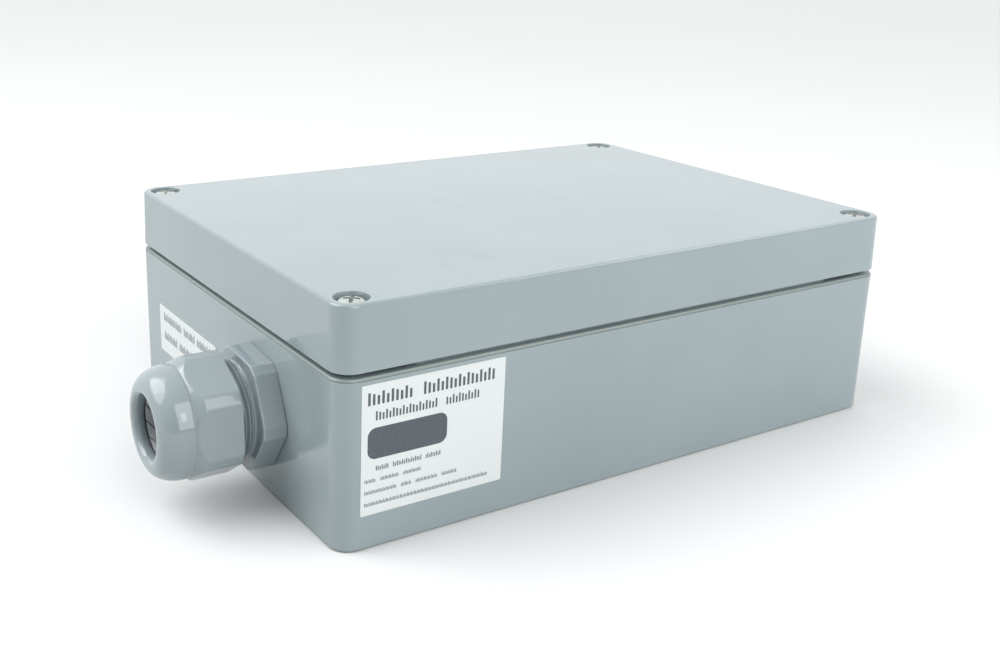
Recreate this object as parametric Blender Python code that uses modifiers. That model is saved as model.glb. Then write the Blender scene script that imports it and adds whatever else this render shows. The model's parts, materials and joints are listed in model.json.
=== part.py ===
"""Wall box for fibre-optic splices, closed, with one cable gland.

Metres, +Z up. The origin is the centre of the box's back face, which is its lowest face here.
The box is long in X, the gland stands out of its -X end, and the cover lies on top.
Touching pieces keep a gap of 0.3 mm, so that every piece is a solid of its own.
"""

import math

import bmesh
import bpy
from mathutils import Vector

# ---------------------------------------------------------------- driving dimensions

GAP = 0.0003

BOX_LENGTH = 0.254
BOX_WIDTH = 0.180
BOX_HEIGHT = 0.084
BOX_CORNER = 0.0076
FLOOR = 0.0040

RIM_Z = 0.0602
RIM_CHAMFER = 0.0013
BASE_DRAFT = 0.0004
BASE_FOOT_ROUND = 0.0010

COVER_Z = 0.0614
COVER_CEILING_Z = 0.0805
COVER_EDGE_ROUND = 0.0012
COVER_DRAFT = 0.00035

# distances inwards from the box's outer face
SKIRT_INSET = 0.0025
TONGUE_INSET = 0.0029
WALL_INSET = 0.0048
RIB_OUTER_INSET = 0.0052
RIB_INNER_INSET = 0.0072
TONGUE_TOP_Z = 0.0665
GROOVE_TOP_Z = 0.0700
RIB_FOOT_Z = 0.0620

# the screw columns stand outside the seal, one in each corner; a screw hole is wider by SCREW_PLAY
SCREW_PLAY = 0.0004
COLUMN_X = 0.0970
COLUMN_Y = 0.0725
SEAL_CORNER = 0.0035
SCREW_X = 0.1181
SCREW_Y = 0.0815
WALL_HOLE_X = 0.1060
WALL_HOLE_RADIUS = 0.0022
WALL_HOLE_SEAT_RADIUS = 0.0045
WALL_HOLE_SEAT_DEPTH = 0.0035

POCKET_RADIUS = 0.0059
POCKET_FLOOR_Z = 0.0802
POCKET_SIDES = 24
COVER_SCREW_RADIUS = 0.0025
COVER_SCREW_RECESS = 0.0018
COVER_SCREW_HEAD_RADIUS = 0.00475
COVER_SCREW_HEAD_TOP_Z = 0.0836
COVER_SCREW_TIP_Z = 0.0535
INSERT_RADIUS = 0.0036
INSERT_TOP_Z = 0.0599
INSERT_FOOT_Z = 0.0475
INSERT_WAIST = 0.0005
INSERT_RELIEF = 0.0030
RETAINER_RADIUS = 0.0046
RETAINER_FOOT_Z = 0.0619
RETAINER_TOP_Z = 0.0631
RETAINER_SPACE_RADIUS = 0.0052
RETAINER_SPACE_TOP_Z = 0.0698

# cable gland: stations run outwards from the outer face of the box's -X end
GLAND_Y = -0.0315
GLAND_Z = 0.0315
GLAND_FLATS = 0.0400
GLAND_CORNERS = 0.0438
FLANGE_TURN = math.radians(24.7)
FLANGE_OUT = 0.0085
ENTRY_THREAD_RADIUS = 0.0160
ENTRY_THREAD_END = -0.0140
CAP_THREAD_RADIUS = 0.0182
CAP_THREAD_ROOT = 0.0171
CAP_THREAD_END = 0.0220
CAP_THREAD_PITCH = 0.0020
CAP_THREAD_TURNS = 3
CAP_THREAD_START = FLANGE_OUT + 0.0006
GLAND_BORE = 0.0120
CLAW_SEAT_RADIUS = 0.0155
CLAW_SEAT_START = 0.0165
LOCKNUT_THICKNESS = 0.0060
NUT_TURN = math.radians(3.6)
NUT_BACK = 0.0145
NUT_HEX_END = 0.0264
NUT_NECK = 0.0308
NUT_DOME_RADIUS = 0.0198
NUT_DOME_START = 0.0318
NUT_TIP = 0.0423
NUT_LIP_RADIUS = 0.0128
NUT_MOUTH_RADIUS = 0.0109
CLAW_RADIUS = 0.0152
CLAW_INNER = 0.0133
CLAW_TIP_INNER = 0.0113
CLAW_TIP_BACK = 0.0320
CLAW_FRONT = 0.0376
CLAW_SLOTS = 12
CLAW_SLOT_WIDTH = 0.0006
CLAW_TURN = 13.5
CLAW_SLOT_START = 0.0215
CLAW_TAPER = (0.0012, 0.0030)
SEAL_RADIUS = 0.0130
SEAL_BORE = 0.0095
SEAL_FRONT = 0.0300
FLANGE_SEAL_RADIUS = 0.0181
FLANGE_SEAL_BORE = 0.0163
FLANGE_SEAL_THICKNESS = 0.0008

# inside: mounting plate, splice tray and its fixings
PLATE_LENGTH = 0.208
PLATE_WIDTH = 0.136
PLATE_THICKNESS = 0.0015
POST_TOP_Z = 0.0090
POST_RADIUS = 0.0048
POST_X = 0.0950
POST_Y = 0.0580
POST_PILOT_RADIUS = 0.0017
PLATE_CORNER = 0.0040
PLATE_HOLE_RADIUS = 0.0023
PLATE_SCREW_RADIUS = 0.0014
PLATE_SCREW_HEAD = (0.0035, 0.0022)
TRAY_X = 0.0270
TRAY_LENGTH = 0.150
TRAY_WIDTH = 0.112
TRAY_DEPTH = 0.0120
TRAY_CORNER = 0.0120
TRAY_WALL = 0.0018
TRAY_FLOOR = 0.0016
TRAY_LIFT = 0.0050
TRAY_LID_THICKNESS = 0.0016
GUIDE_REACH = 0.0400
GUIDE_RADIUS = 0.0240
GUIDE_WALL = 0.0015
GUIDE_BELOW_LID = 0.0020
TAB_SIZE = (0.0080, 0.0100, 0.0012)
TAB_Y = 0.0505
TAB_BELOW_LID = 0.0014
ENTRY_SIZE = (0.0100, 0.0120, 0.0080)
ENTRY_Y = 0.0360
HOLDER_SIZE = (0.0260, 0.0360, 0.0065)
HOLDER_Y = 0.0295
HOLDER_SLOTS = 6
HOLDER_SLOT_WIDTH = 0.0026
HOLDER_SLOT_SPACING = 0.0055
HOLDER_SLOT_FLOOR = 0.0020
STUD_REACH = 0.0670
STUD_RADIUS = 0.0020
STUD_END = 0.0015
TRAY_NUT_HEIGHT = 0.0060
TRAY_NUT_RADIUS = 0.0065
TRAY_NUT_BOSS = (0.0032, 0.0040, 0.0020)
TRAY_NUT_GRIPS = 6
TRAY_NUT_GRIP_RADIUS = 0.0010
TRAY_WASHER_THICKNESS = 0.0010
TRAY_WASHER_RADIUS = 0.0050

# cable clamp behind the gland, and the two fibre clips
CLAMP_X = -0.0830
CLAMP_WIDTH = 0.0340
CLAMP_SHEET = 0.0020
CLAMP_SHELF_Z = 0.0270
CLAMP_FOOT = (-0.0110, 0.0110)
CLAMP_WEB = (-0.0060, -0.0040)
CLAMP_SHELF_END = 0.0080
CLAMP_BAR_SIZE = (0.0100, 0.0030)
CLAMP_BAR_SHIFT = 0.0020
BRACKET_SCREW_SHIFT = 0.0065
CLAMP_SCREW_SPREAD = 0.0115
CLAMP_SCREW_RADIUS = 0.0015
CLAMP_SCREW_HEAD = (0.0030, 0.0020)
CLIP_X = -0.0780
CLIP_FRONT_Y = 0.0120
CLIP_REAR_Y = 0.0440
CLIP_PAD = (0.0100, 0.0220, 0.0016)
CLIP_RADIUS = 0.0070
CLIP_BORE = 0.0054
CLIP_WIDTH = 0.0080
CLIP_RISE = 0.0060

LABEL_THICKNESS = 0.0002
FRONT_LABEL_SIZE = (0.055, 0.045)
FRONT_LABEL_CENTRE = (-0.0914, 0.0347)
END_LABEL_SIZE = (0.060, 0.020)
END_LABEL_CENTRE = (0.0383, 0.0294)

CORNERS = (("front_left", -1, -1), ("front_right", 1, -1), ("rear_left", -1, 1), ("rear_right", 1, 1))
SIDES = (("left", -1), ("right", 1))

ROUND = 28
SMALL_ROUND = 12
FLAT_OUT = (0.0, -math.pi / 2, 0.0)

PLATE_Z = POST_TOP_Z + GAP
PLATE_TOP = PLATE_Z + PLATE_THICKNESS
TRAY_Z = PLATE_TOP + GAP + TRAY_LIFT + GAP
TRAY_TOP = TRAY_Z + TRAY_DEPTH
LID_Z = TRAY_TOP + GAP
WASHER_Z = LID_Z + TRAY_LID_THICKNESS + GAP
TRAY_NUT_Z = WASHER_Z + TRAY_WASHER_THICKNESS + GAP
GLAND_PLACE = (-BOX_LENGTH / 2, GLAND_Y, GLAND_Z)

# ---------------------------------------------------------------- scene and materials

for old in list(bpy.data.objects):
    bpy.data.objects.remove(old, do_unlink=True)

parts = bpy.data.collections.new("fiber_termination_box")
cutters = bpy.data.collections.new("cutters")
for group in (parts, cutters):
    bpy.context.scene.collection.children.link(group)


def finish(name, colour, roughness, metallic=0.0, alpha=1.0):
    """A Principled material."""
    made = bpy.data.materials.new(name)
    made.use_nodes = True
    shader = made.node_tree.nodes["Principled BSDF"]
    shader.inputs["Base Color"].default_value = (*colour, 1.0)
    shader.inputs["Roughness"].default_value = roughness
    shader.inputs["Metallic"].default_value = metallic
    shader.inputs["Alpha"].default_value = alpha
    return made


ENCLOSURE_GREY = finish("enclosure_grey", (0.36, 0.41, 0.43), 0.30)
GLAND_GREY = finish("gland_grey", (0.34, 0.38, 0.41), 0.42)
CLAW_GREY = finish("claw_grey", (0.42, 0.45, 0.46), 0.50)
SEAL_BLACK = finish("seal_black", (0.02, 0.02, 0.02), 0.70)
GASKET_DARK = finish("gasket_dark", (0.05, 0.05, 0.05), 0.80)
STAINLESS = finish("stainless", (0.62, 0.61, 0.58), 0.28, 1.0)
BRASS = finish("brass", (0.75, 0.58, 0.27), 0.35, 1.0)
ZINC = finish("zinc_sheet", (0.62, 0.63, 0.64), 0.40, 1.0)
NYLON_WHITE = finish("nylon_white", (0.80, 0.79, 0.75), 0.50)
TRAY_GREY = finish("tray_grey", (0.62, 0.63, 0.62), 0.45)
CLEAR = finish("clear_plastic", (0.90, 0.93, 0.94), 0.10, 0.0, 0.35)
LABEL_WHITE = finish("label_white", (0.86, 0.87, 0.86), 0.45)
HOLDER_RUBBER = finish("holder_rubber", (0.16, 0.17, 0.18), 0.75)

# ---------------------------------------------------------------- modelling helpers


def rounded_outline(corners, radius, steps=5):
    """The closed outline through the corners, each turned into an arc. The corners run anticlockwise."""
    points = []
    for index, corner in enumerate(corners):
        here = Vector(corner)
        back = (Vector(corners[index - 1]) - here).normalized()
        ahead = (Vector(corners[(index + 1) % len(corners)]) - here).normalized()
        half = back.angle(ahead) / 2
        centre = here + (back + ahead).normalized() * (radius / math.sin(half))
        start = here + back * (radius / math.tan(half)) - centre
        end = here + ahead * (radius / math.tan(half)) - centre
        turn = start.angle_signed(end)
        for step in range(steps + 1):
            angle = -turn * step / steps
            arm = Vector((start.x * math.cos(angle) - start.y * math.sin(angle),
                          start.x * math.sin(angle) + start.y * math.cos(angle)))
            points.append(centre + arm)
    return points


def rectangle(length, width, radius, steps=5):
    """A rectangle with round corners, centred."""
    a = length / 2
    b = width / 2
    return rounded_outline([(-a, -b), (a, -b), (a, b), (-a, b)], radius, steps)


def seal_outline(inset):
    """The box's outline moved inwards, passing the four screw columns on their inner side."""
    a = BOX_LENGTH / 2 - inset
    b = BOX_WIDTH / 2 - inset
    x = COLUMN_X - (inset - WALL_INSET)
    y = COLUMN_Y - (inset - WALL_INSET)
    corners = [(-x, -b), (x, -b), (x, -y), (a, -y), (a, y), (x, y),
               (x, b), (-x, b), (-x, y), (-a, y), (-a, -y), (-x, -y)]
    return rounded_outline(corners, SEAL_CORNER, 3)


def nut_outline(flats, corners, turn):
    """A hexagon whose corners are cut flat, at the width across its flats and across its corners."""
    points = []
    face = corners / 2
    edge = (flats / 2 - face * math.cos(math.radians(30))) / math.sin(math.radians(30))
    for index in range(6):
        angle = turn + math.radians(60 * index)
        out = Vector((math.cos(angle), math.sin(angle)))
        along = Vector((-out.y, out.x))
        points.append(out * face - along * edge)
        points.append(out * face + along * edge)
    return points


def cross_outline(arm, width):
    """A plus sign."""
    w = width / 2
    return [(-w, -arm), (w, -arm), (w, -w), (arm, -w), (arm, w), (w, w),
            (w, arm), (-w, arm), (-w, w), (-arm, w), (-arm, -w), (-w, -w)]


def add_object(name, mesh, material=None, place=(0, 0, 0), turn=(0, 0, 0)):
    """An object in the parts collection, or a cutter if it has no material."""
    made = bpy.data.objects.new(name, mesh)
    made.location = place
    made.rotation_euler = turn
    if material is None:
        cutters.objects.link(made)
        made.hide_render = True
        made.display_type = "WIRE"
    else:
        parts.objects.link(made)
        mesh.materials.append(material)
    return made


def prism(name, outline, low, high, material=None, place=(0, 0, 0), turn=(0, 0, 0), foot_draft=0.0,
          top_draft=0.0):
    """The outline extruded from low to high: a flat curve's wall, turned into a mesh and capped."""
    curve = bpy.data.curves.new(name + "_outline", "CURVE")
    curve.dimensions = "2D"
    curve.fill_mode = "NONE"
    curve.extrude = (high - low) / 2
    spline = curve.splines.new("POLY")
    spline.points.add(len(outline) - 1)
    for point, (x, y) in zip(spline.points, outline):
        point.co = (x, y, 0.0, 1.0)
    spline.use_cyclic_u = True
    shape = bpy.data.objects.new(name + "_shape", curve)
    bpy.context.scene.collection.objects.link(shape)
    graph = bpy.context.evaluated_depsgraph_get()
    mesh = bpy.data.meshes.new_from_object(shape.evaluated_get(graph))
    bpy.data.objects.remove(shape, do_unlink=True)
    bpy.data.curves.remove(curve)
    mesh.materials.clear()
    solid = bmesh.new()
    solid.from_mesh(mesh)
    bmesh.ops.remove_doubles(solid, verts=solid.verts, dist=0.000001)
    bmesh.ops.holes_fill(solid, edges=solid.edges, sides=0)
    bmesh.ops.recalc_face_normals(solid, faces=solid.faces)
    middle = (low + high) / 2
    long_side = max(abs(point[0]) for point in outline)
    short_side = max(abs(point[1]) for point in outline)
    for vert in solid.verts:
        draft = foot_draft if vert.co.z < 0 else top_draft
        vert.co.x *= 1 - draft / long_side
        vert.co.y *= 1 - draft / short_side
        vert.co.z += middle
    solid.to_mesh(mesh)
    solid.free()
    mesh.name = name
    return add_object(name, mesh, material, place, turn)


def cylinder(name, radius, low, high, material=None, place=(0, 0, 0), turn=(0, 0, 0), sides=SMALL_ROUND):
    """A round bar from low to high along its own Z."""
    mesh = bpy.data.meshes.new(name)
    solid = bmesh.new()
    bmesh.ops.create_cone(solid, cap_ends=True, segments=sides, radius1=radius, radius2=radius,
                          depth=high - low)
    bmesh.ops.translate(solid, verts=solid.verts, vec=(0, 0, (low + high) / 2))
    solid.to_mesh(mesh)
    solid.free()
    made = add_object(name, mesh, material, place, turn)
    smooth(made)
    return made


def block(name, size, centre, material=None, turn=(0, 0, 0)):
    """A box of the given size."""
    mesh = bpy.data.meshes.new(name)
    solid = bmesh.new()
    bmesh.ops.create_cube(solid, size=1.0)
    bmesh.ops.scale(solid, verts=solid.verts, vec=size)
    solid.to_mesh(mesh)
    solid.free()
    return add_object(name, mesh, material, centre, turn)


def turned(name, profile, material=None, place=(0, 0, 0), turn=(0, 0, 0), sides=ROUND, closed=True):
    """The profile (radius, height) spun about its own Z. It runs down the outer side."""
    mesh = bpy.data.meshes.new(name)
    edges = [(index, index + 1) for index in range(len(profile) - 1)]
    if closed:
        edges.append((len(profile) - 1, 0))
    mesh.from_pydata([(radius, 0.0, height) for radius, height in profile], edges, [])
    made = add_object(name, mesh, material, place, turn)
    spin = made.modifiers.new("spin", "SCREW")
    spin.steps = sides
    spin.render_steps = sides
    spin.use_merge_vertices = True
    spin.merge_threshold = 0.000001
    return made


def smooth(made):
    """Smooth shading that keeps edges sharper than 30 degrees."""
    made.data.shade_smooth()
    made.data.set_sharp_from_angle(angle=math.radians(30))


def boolean(body, tool, operation):
    """Cuts the body with the tool, joins the tool to it, or keeps what they share."""
    step = body.modifiers.new(tool.name, "BOOLEAN")
    step.operation = operation
    step.object = tool
    step.solver = "EXACT"


def cut(body, *tools):
    for tool in tools:
        boolean(body, tool, "DIFFERENCE")


def join(body, *tools):
    for tool in tools:
        boolean(body, tool, "UNION")


def round_edge(body, height, width, segments):
    """Rounds the outline edge that lies at one height of a prism."""
    group = body.vertex_groups.new(name="edge_at_%.4f" % height)
    chosen = [vert.index for vert in body.data.vertices if abs(vert.co.z - height) < 0.00001]
    group.add(chosen, 1.0, "REPLACE")
    step = body.modifiers.new("round_" + group.name, "BEVEL")
    step.limit_method = "VGROUP"
    step.vertex_group = group.name
    step.width = width
    step.segments = segments


# ---------------------------------------------------------------- base and its inserts


def make_base():
    """The deep moulding: walls, four corner columns, the seal's tongue and the plate's posts."""
    base = prism("base", rectangle(BOX_LENGTH, BOX_WIDTH, BOX_CORNER, 6), 0.0, RIM_Z, ENCLOSURE_GREY,
                 foot_draft=BASE_DRAFT)
    round_edge(base, RIM_Z, RIM_CHAMFER, 1)
    round_edge(base, 0.0, BASE_FOOT_ROUND, 2)
    join(base, prism("base_tongue", seal_outline(TONGUE_INSET), FLOOR / 2, TONGUE_TOP_Z))
    cut(base, prism("base_cavity", seal_outline(WALL_INSET), FLOOR, BOX_HEIGHT))
    for name, side_x, side_y in CORNERS:
        post = (side_x * POST_X, side_y * POST_Y, 0)
        join(base, cylinder("base_post_" + name, POST_RADIUS, FLOOR / 2, POST_TOP_Z, place=post))
        cut(base, cylinder("base_pilot_" + name, POST_PILOT_RADIUS, FLOOR / 2, BOX_HEIGHT, place=post))
        insert = (side_x * SCREW_X, side_y * SCREW_Y, 0)
        cut(base, cylinder("base_insert_hole_" + name, INSERT_RADIUS + GAP, INSERT_FOOT_Z - INSERT_RELIEF,
                           BOX_HEIGHT, place=insert))
        wall_hole = (side_x * WALL_HOLE_X, side_y * SCREW_Y, 0)
        cut(base, cylinder("base_wall_hole_" + name, WALL_HOLE_RADIUS, -FLOOR, BOX_HEIGHT, place=wall_hole))
        cut(base, cylinder("base_wall_seat_" + name, WALL_HOLE_SEAT_RADIUS, RIM_Z - WALL_HOLE_SEAT_DEPTH,
                           BOX_HEIGHT, place=wall_hole))
    cut(base, cylinder("base_gland_hole", ENTRY_THREAD_RADIUS + GAP, -0.02, 0.02, place=GLAND_PLACE,
                       turn=FLAT_OUT, sides=ROUND))


def make_insert(name, place):
    """A brass threaded insert moulded into a corner column, with a waist that keys it."""
    wall = COVER_SCREW_RADIUS + GAP
    waist = INSERT_RADIUS - INSERT_WAIST
    middle = (INSERT_TOP_Z + INSERT_FOOT_Z) / 2
    profile = [(wall, INSERT_TOP_Z), (INSERT_RADIUS, INSERT_TOP_Z), (waist, middle),
               (INSERT_RADIUS, INSERT_FOOT_Z), (wall, INSERT_FOOT_Z)]
    turned("threaded_insert_" + name, profile, BRASS, place, sides=SMALL_ROUND)


# ---------------------------------------------------------------- cover, its seal and screws


def make_cover():
    """The shallow moulding: a groove for the seal, and four columns with screw pockets."""
    cover = prism("cover", rectangle(BOX_LENGTH, BOX_WIDTH, BOX_CORNER, 6), COVER_Z, BOX_HEIGHT, ENCLOSURE_GREY,
                  top_draft=COVER_DRAFT)
    round_edge(cover, BOX_HEIGHT, COVER_EDGE_ROUND, 3)
    cut(cover, prism("cover_groove", seal_outline(SKIRT_INSET), COVER_Z - 0.005, GROOVE_TOP_Z))
    join(cover, prism("cover_rib", seal_outline(RIB_OUTER_INSET), RIB_FOOT_Z, COVER_CEILING_Z - 0.004))
    cut(cover, prism("cover_cavity", seal_outline(RIB_INNER_INSET), COVER_Z - 0.005, COVER_CEILING_Z))
    for name, side_x, side_y in CORNERS:
        place = (side_x * SCREW_X, side_y * SCREW_Y, 0)
        cut(cover, cylinder("cover_pocket_" + name, POCKET_RADIUS, POCKET_FLOOR_Z, BOX_HEIGHT + 0.005,
                            place=place, sides=POCKET_SIDES))
        cut(cover, cylinder("cover_screw_hole_" + name, COVER_SCREW_RADIUS + SCREW_PLAY, COVER_Z - 0.005,
                            BOX_HEIGHT, place=place))
        cut(cover, cylinder("cover_retainer_space_" + name, RETAINER_SPACE_RADIUS, COVER_Z - 0.005,
                            RETAINER_SPACE_TOP_Z, place=place))


def make_cover_gasket():
    """The endless seal strip at the top of the cover's groove."""
    gasket = prism("cover_gasket", seal_outline(SKIRT_INSET + GAP), TONGUE_TOP_Z + GAP, GROOVE_TOP_Z - GAP,
                   GASKET_DARK)
    cut(gasket, prism("cover_gasket_inside", seal_outline(RIB_OUTER_INSET - GAP), COVER_Z, BOX_HEIGHT))


def make_screw(name, place, radius, head_radius, head_top, head_height, tip, material, recess):
    """A pan-head machine screw with a cross recess."""
    seat = head_top - head_height
    crown = 0.35 * head_height
    profile = [(0, head_top), (0.60 * head_radius, head_top - 0.12 * crown),
               (0.90 * head_radius, head_top - crown), (head_radius, seat), (radius, seat),
               (radius, tip + 0.4 * radius), (0.6 * radius, tip), (0, tip)]
    screw = turned(name, profile, material, place, sides=SMALL_ROUND, closed=False)
    cut(screw, prism(name + "_recess", cross_outline(0.55 * head_radius, 0.24 * head_radius),
                     head_top - recess, head_top + head_height, place=place))
    return screw


def make_ring(name, outer, inner, low, high, material, place, turn=(0, 0, 0), sides=SMALL_ROUND):
    """A flat ring."""
    turned(name, [(inner, high), (outer, high), (outer, low), (inner, low)], material, place, turn, sides)


# ---------------------------------------------------------------- cable gland


def make_gland_body():
    """The fixed half: entry thread, hexagon flange and cap thread, bored through."""
    crests = []
    for turn in range(CAP_THREAD_TURNS):
        start = CAP_THREAD_START + turn * CAP_THREAD_PITCH
        crests += [(CAP_THREAD_ROOT, start), (CAP_THREAD_RADIUS, start + 0.4 * CAP_THREAD_PITCH),
                   (CAP_THREAD_RADIUS, start + 0.6 * CAP_THREAD_PITCH)]
    crests.append((CAP_THREAD_ROOT, CAP_THREAD_START + CAP_THREAD_TURNS * CAP_THREAD_PITCH))
    profile = [(CLAW_SEAT_RADIUS, CAP_THREAD_END), (CAP_THREAD_RADIUS - 0.0006, CAP_THREAD_END),
               (CAP_THREAD_RADIUS, CAP_THREAD_END - 0.001), (CAP_THREAD_RADIUS, crests[-1][1] + 0.0008)]
    profile += reversed(crests)
    profile += [(CAP_THREAD_ROOT, FLANGE_OUT - 0.002), (ENTRY_THREAD_RADIUS, FLANGE_OUT - 0.002),
                (ENTRY_THREAD_RADIUS, ENTRY_THREAD_END + 0.001), (ENTRY_THREAD_RADIUS - 0.001, ENTRY_THREAD_END),
                (GLAND_BORE, ENTRY_THREAD_END), (GLAND_BORE, CLAW_SEAT_START),
                (CLAW_SEAT_RADIUS, CLAW_SEAT_START)]
    body = turned("gland_body", profile, GLAND_GREY, GLAND_PLACE, FLAT_OUT)
    flange = prism("gland_flange", nut_outline(GLAND_FLATS, GLAND_CORNERS, FLANGE_TURN), GAP, FLANGE_OUT,
                   place=GLAND_PLACE, turn=FLAT_OUT)
    cut(flange, cylinder("gland_flange_bore", GLAND_BORE + 0.002, -0.01, 0.02, place=GLAND_PLACE, turn=FLAT_OUT,
                         sides=ROUND))
    join(body, flange)
    recess = FLANGE_SEAL_THICKNESS + 2 * GAP
    cut(body, turned("gland_seal_recess",
                     [(ENTRY_THREAD_RADIUS, recess), (FLANGE_SEAL_RADIUS + GAP, recess),
                      (FLANGE_SEAL_RADIUS + GAP, -GAP), (ENTRY_THREAD_RADIUS, -GAP)],
                     place=GLAND_PLACE, turn=FLAT_OUT))


def make_locknut():
    """The hexagon nut that holds the gland from inside the box."""
    start = -WALL_INSET - GAP
    nut = prism("gland_locknut", nut_outline(GLAND_FLATS, GLAND_CORNERS, 0.0), start - LOCKNUT_THICKNESS, start,
                GLAND_GREY, GLAND_PLACE, FLAT_OUT)
    cut(nut, cylinder("gland_locknut_hole", ENTRY_THREAD_RADIUS + GAP, -0.03, 0.0, place=GLAND_PLACE,
                      turn=FLAT_OUT, sides=ROUND))


def make_claw():
    """The clamping insert: a collar whose front is slit into fingers."""
    taper, taper_length = CLAW_TAPER
    profile = [(CLAW_TIP_INNER, CLAW_FRONT), (CLAW_RADIUS - taper, CLAW_FRONT),
               (CLAW_RADIUS, CLAW_FRONT - taper_length), (CLAW_RADIUS, CLAW_SEAT_START + GAP),
               (CLAW_INNER, CLAW_SEAT_START + GAP), (CLAW_INNER, CLAW_TIP_BACK - 0.0012),
               (CLAW_TIP_INNER, CLAW_TIP_BACK)]
    claw = turned("gland_claw", profile, CLAW_GREY, GLAND_PLACE, FLAT_OUT)
    for index in range(CLAW_SLOTS // 2):
        angle = math.radians(CLAW_TURN + 360 / CLAW_SLOTS * index)
        along = Vector((math.cos(angle), math.sin(angle))) * 1.2 * CLAW_RADIUS
        across = Vector((-math.sin(angle), math.cos(angle))) * CLAW_SLOT_WIDTH / 2
        slit = [-along - across, along - across, along + across, -along + across]
        cut(claw, prism("gland_claw_slit_%d" % index, slit, CLAW_SLOT_START, NUT_TIP, place=GLAND_PLACE,
                        turn=FLAT_OUT))


def make_dome_nut():
    """The cap: a hexagon that runs into a dome, open at the mouth."""
    outer = [(0.0, NUT_TIP + 0.0001), (NUT_LIP_RADIUS - 0.0012, NUT_TIP)]
    steps = 7
    for step in range(steps + 1):
        angle = math.pi / 2 * (1 - step / steps)
        radius = NUT_LIP_RADIUS + (NUT_DOME_RADIUS - NUT_LIP_RADIUS) * math.cos(angle)
        outer.append((radius, NUT_DOME_START + (NUT_TIP - NUT_DOME_START) * math.sin(angle)))
    outer += [(NUT_DOME_RADIUS, NUT_NECK), (GLAND_CORNERS / 2 + 0.0008, NUT_HEX_END),
              (GLAND_CORNERS / 2 + 0.0008, NUT_BACK - 0.003), (0.0, NUT_BACK - 0.003)]
    nut = prism("gland_dome_nut", nut_outline(GLAND_FLATS, GLAND_CORNERS, NUT_TURN), NUT_BACK, NUT_TIP + 0.003,
                GLAND_GREY, GLAND_PLACE, FLAT_OUT)
    boolean(nut, turned("gland_dome", outer, place=GLAND_PLACE, turn=FLAT_OUT, closed=False), "INTERSECT")
    thread = CAP_THREAD_RADIUS + GAP
    shoulder = CAP_THREAD_END + 0.0015
    inner = [(0.0, NUT_TIP + 0.004), (NUT_MOUTH_RADIUS + 0.0025, NUT_TIP + 0.004),
             (NUT_MOUTH_RADIUS + 0.0012, NUT_TIP - 0.0002), (NUT_MOUTH_RADIUS, NUT_TIP - 0.0016),
             (NUT_MOUTH_RADIUS, CLAW_FRONT + 0.0008), (CLAW_RADIUS - CLAW_TAPER[0] + 0.0004, CLAW_FRONT + 0.0004),
             (CLAW_RADIUS + 0.0006, CLAW_FRONT - CLAW_TAPER[1] + 0.0006),
             (CLAW_RADIUS + 0.0006, shoulder), (thread, shoulder), (thread, NUT_BACK - 0.004),
             (0.0, NUT_BACK - 0.004)]
    cut(nut, turned("gland_dome_inside", inner, place=GLAND_PLACE, turn=FLAT_OUT, closed=False))


def make_gland():
    make_gland_body()
    make_locknut()
    make_claw()
    make_dome_nut()
    make_ring("gland_seal", SEAL_RADIUS, SEAL_BORE, CLAW_SEAT_START + GAP, SEAL_FRONT, SEAL_BLACK, GLAND_PLACE,
              FLAT_OUT, ROUND)
    make_ring("gland_flange_seal", FLANGE_SEAL_RADIUS, FLANGE_SEAL_BORE + GAP, GAP, GAP + FLANGE_SEAL_THICKNESS,
              SEAL_BLACK, GLAND_PLACE, FLAT_OUT, ROUND)


# ---------------------------------------------------------------- inside the box


def make_plate():
    """The mounting plate on the base's four posts."""
    plate = prism("mounting_plate", rectangle(PLATE_LENGTH, PLATE_WIDTH, PLATE_CORNER, 3), PLATE_Z, PLATE_TOP,
                  ZINC)
    head_radius, head_height = PLATE_SCREW_HEAD
    for name, side_x, side_y in CORNERS:
        place = (side_x * POST_X, side_y * POST_Y, 0)
        cut(plate, cylinder("plate_hole_" + name, PLATE_HOLE_RADIUS, 0.0, TRAY_Z, place=place))
        make_screw("plate_screw_" + name, place, PLATE_SCREW_RADIUS, head_radius, PLATE_TOP + GAP + head_height,
                   head_height, FLOOR + 0.0002, ZINC, 0.45 * head_height)


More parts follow.
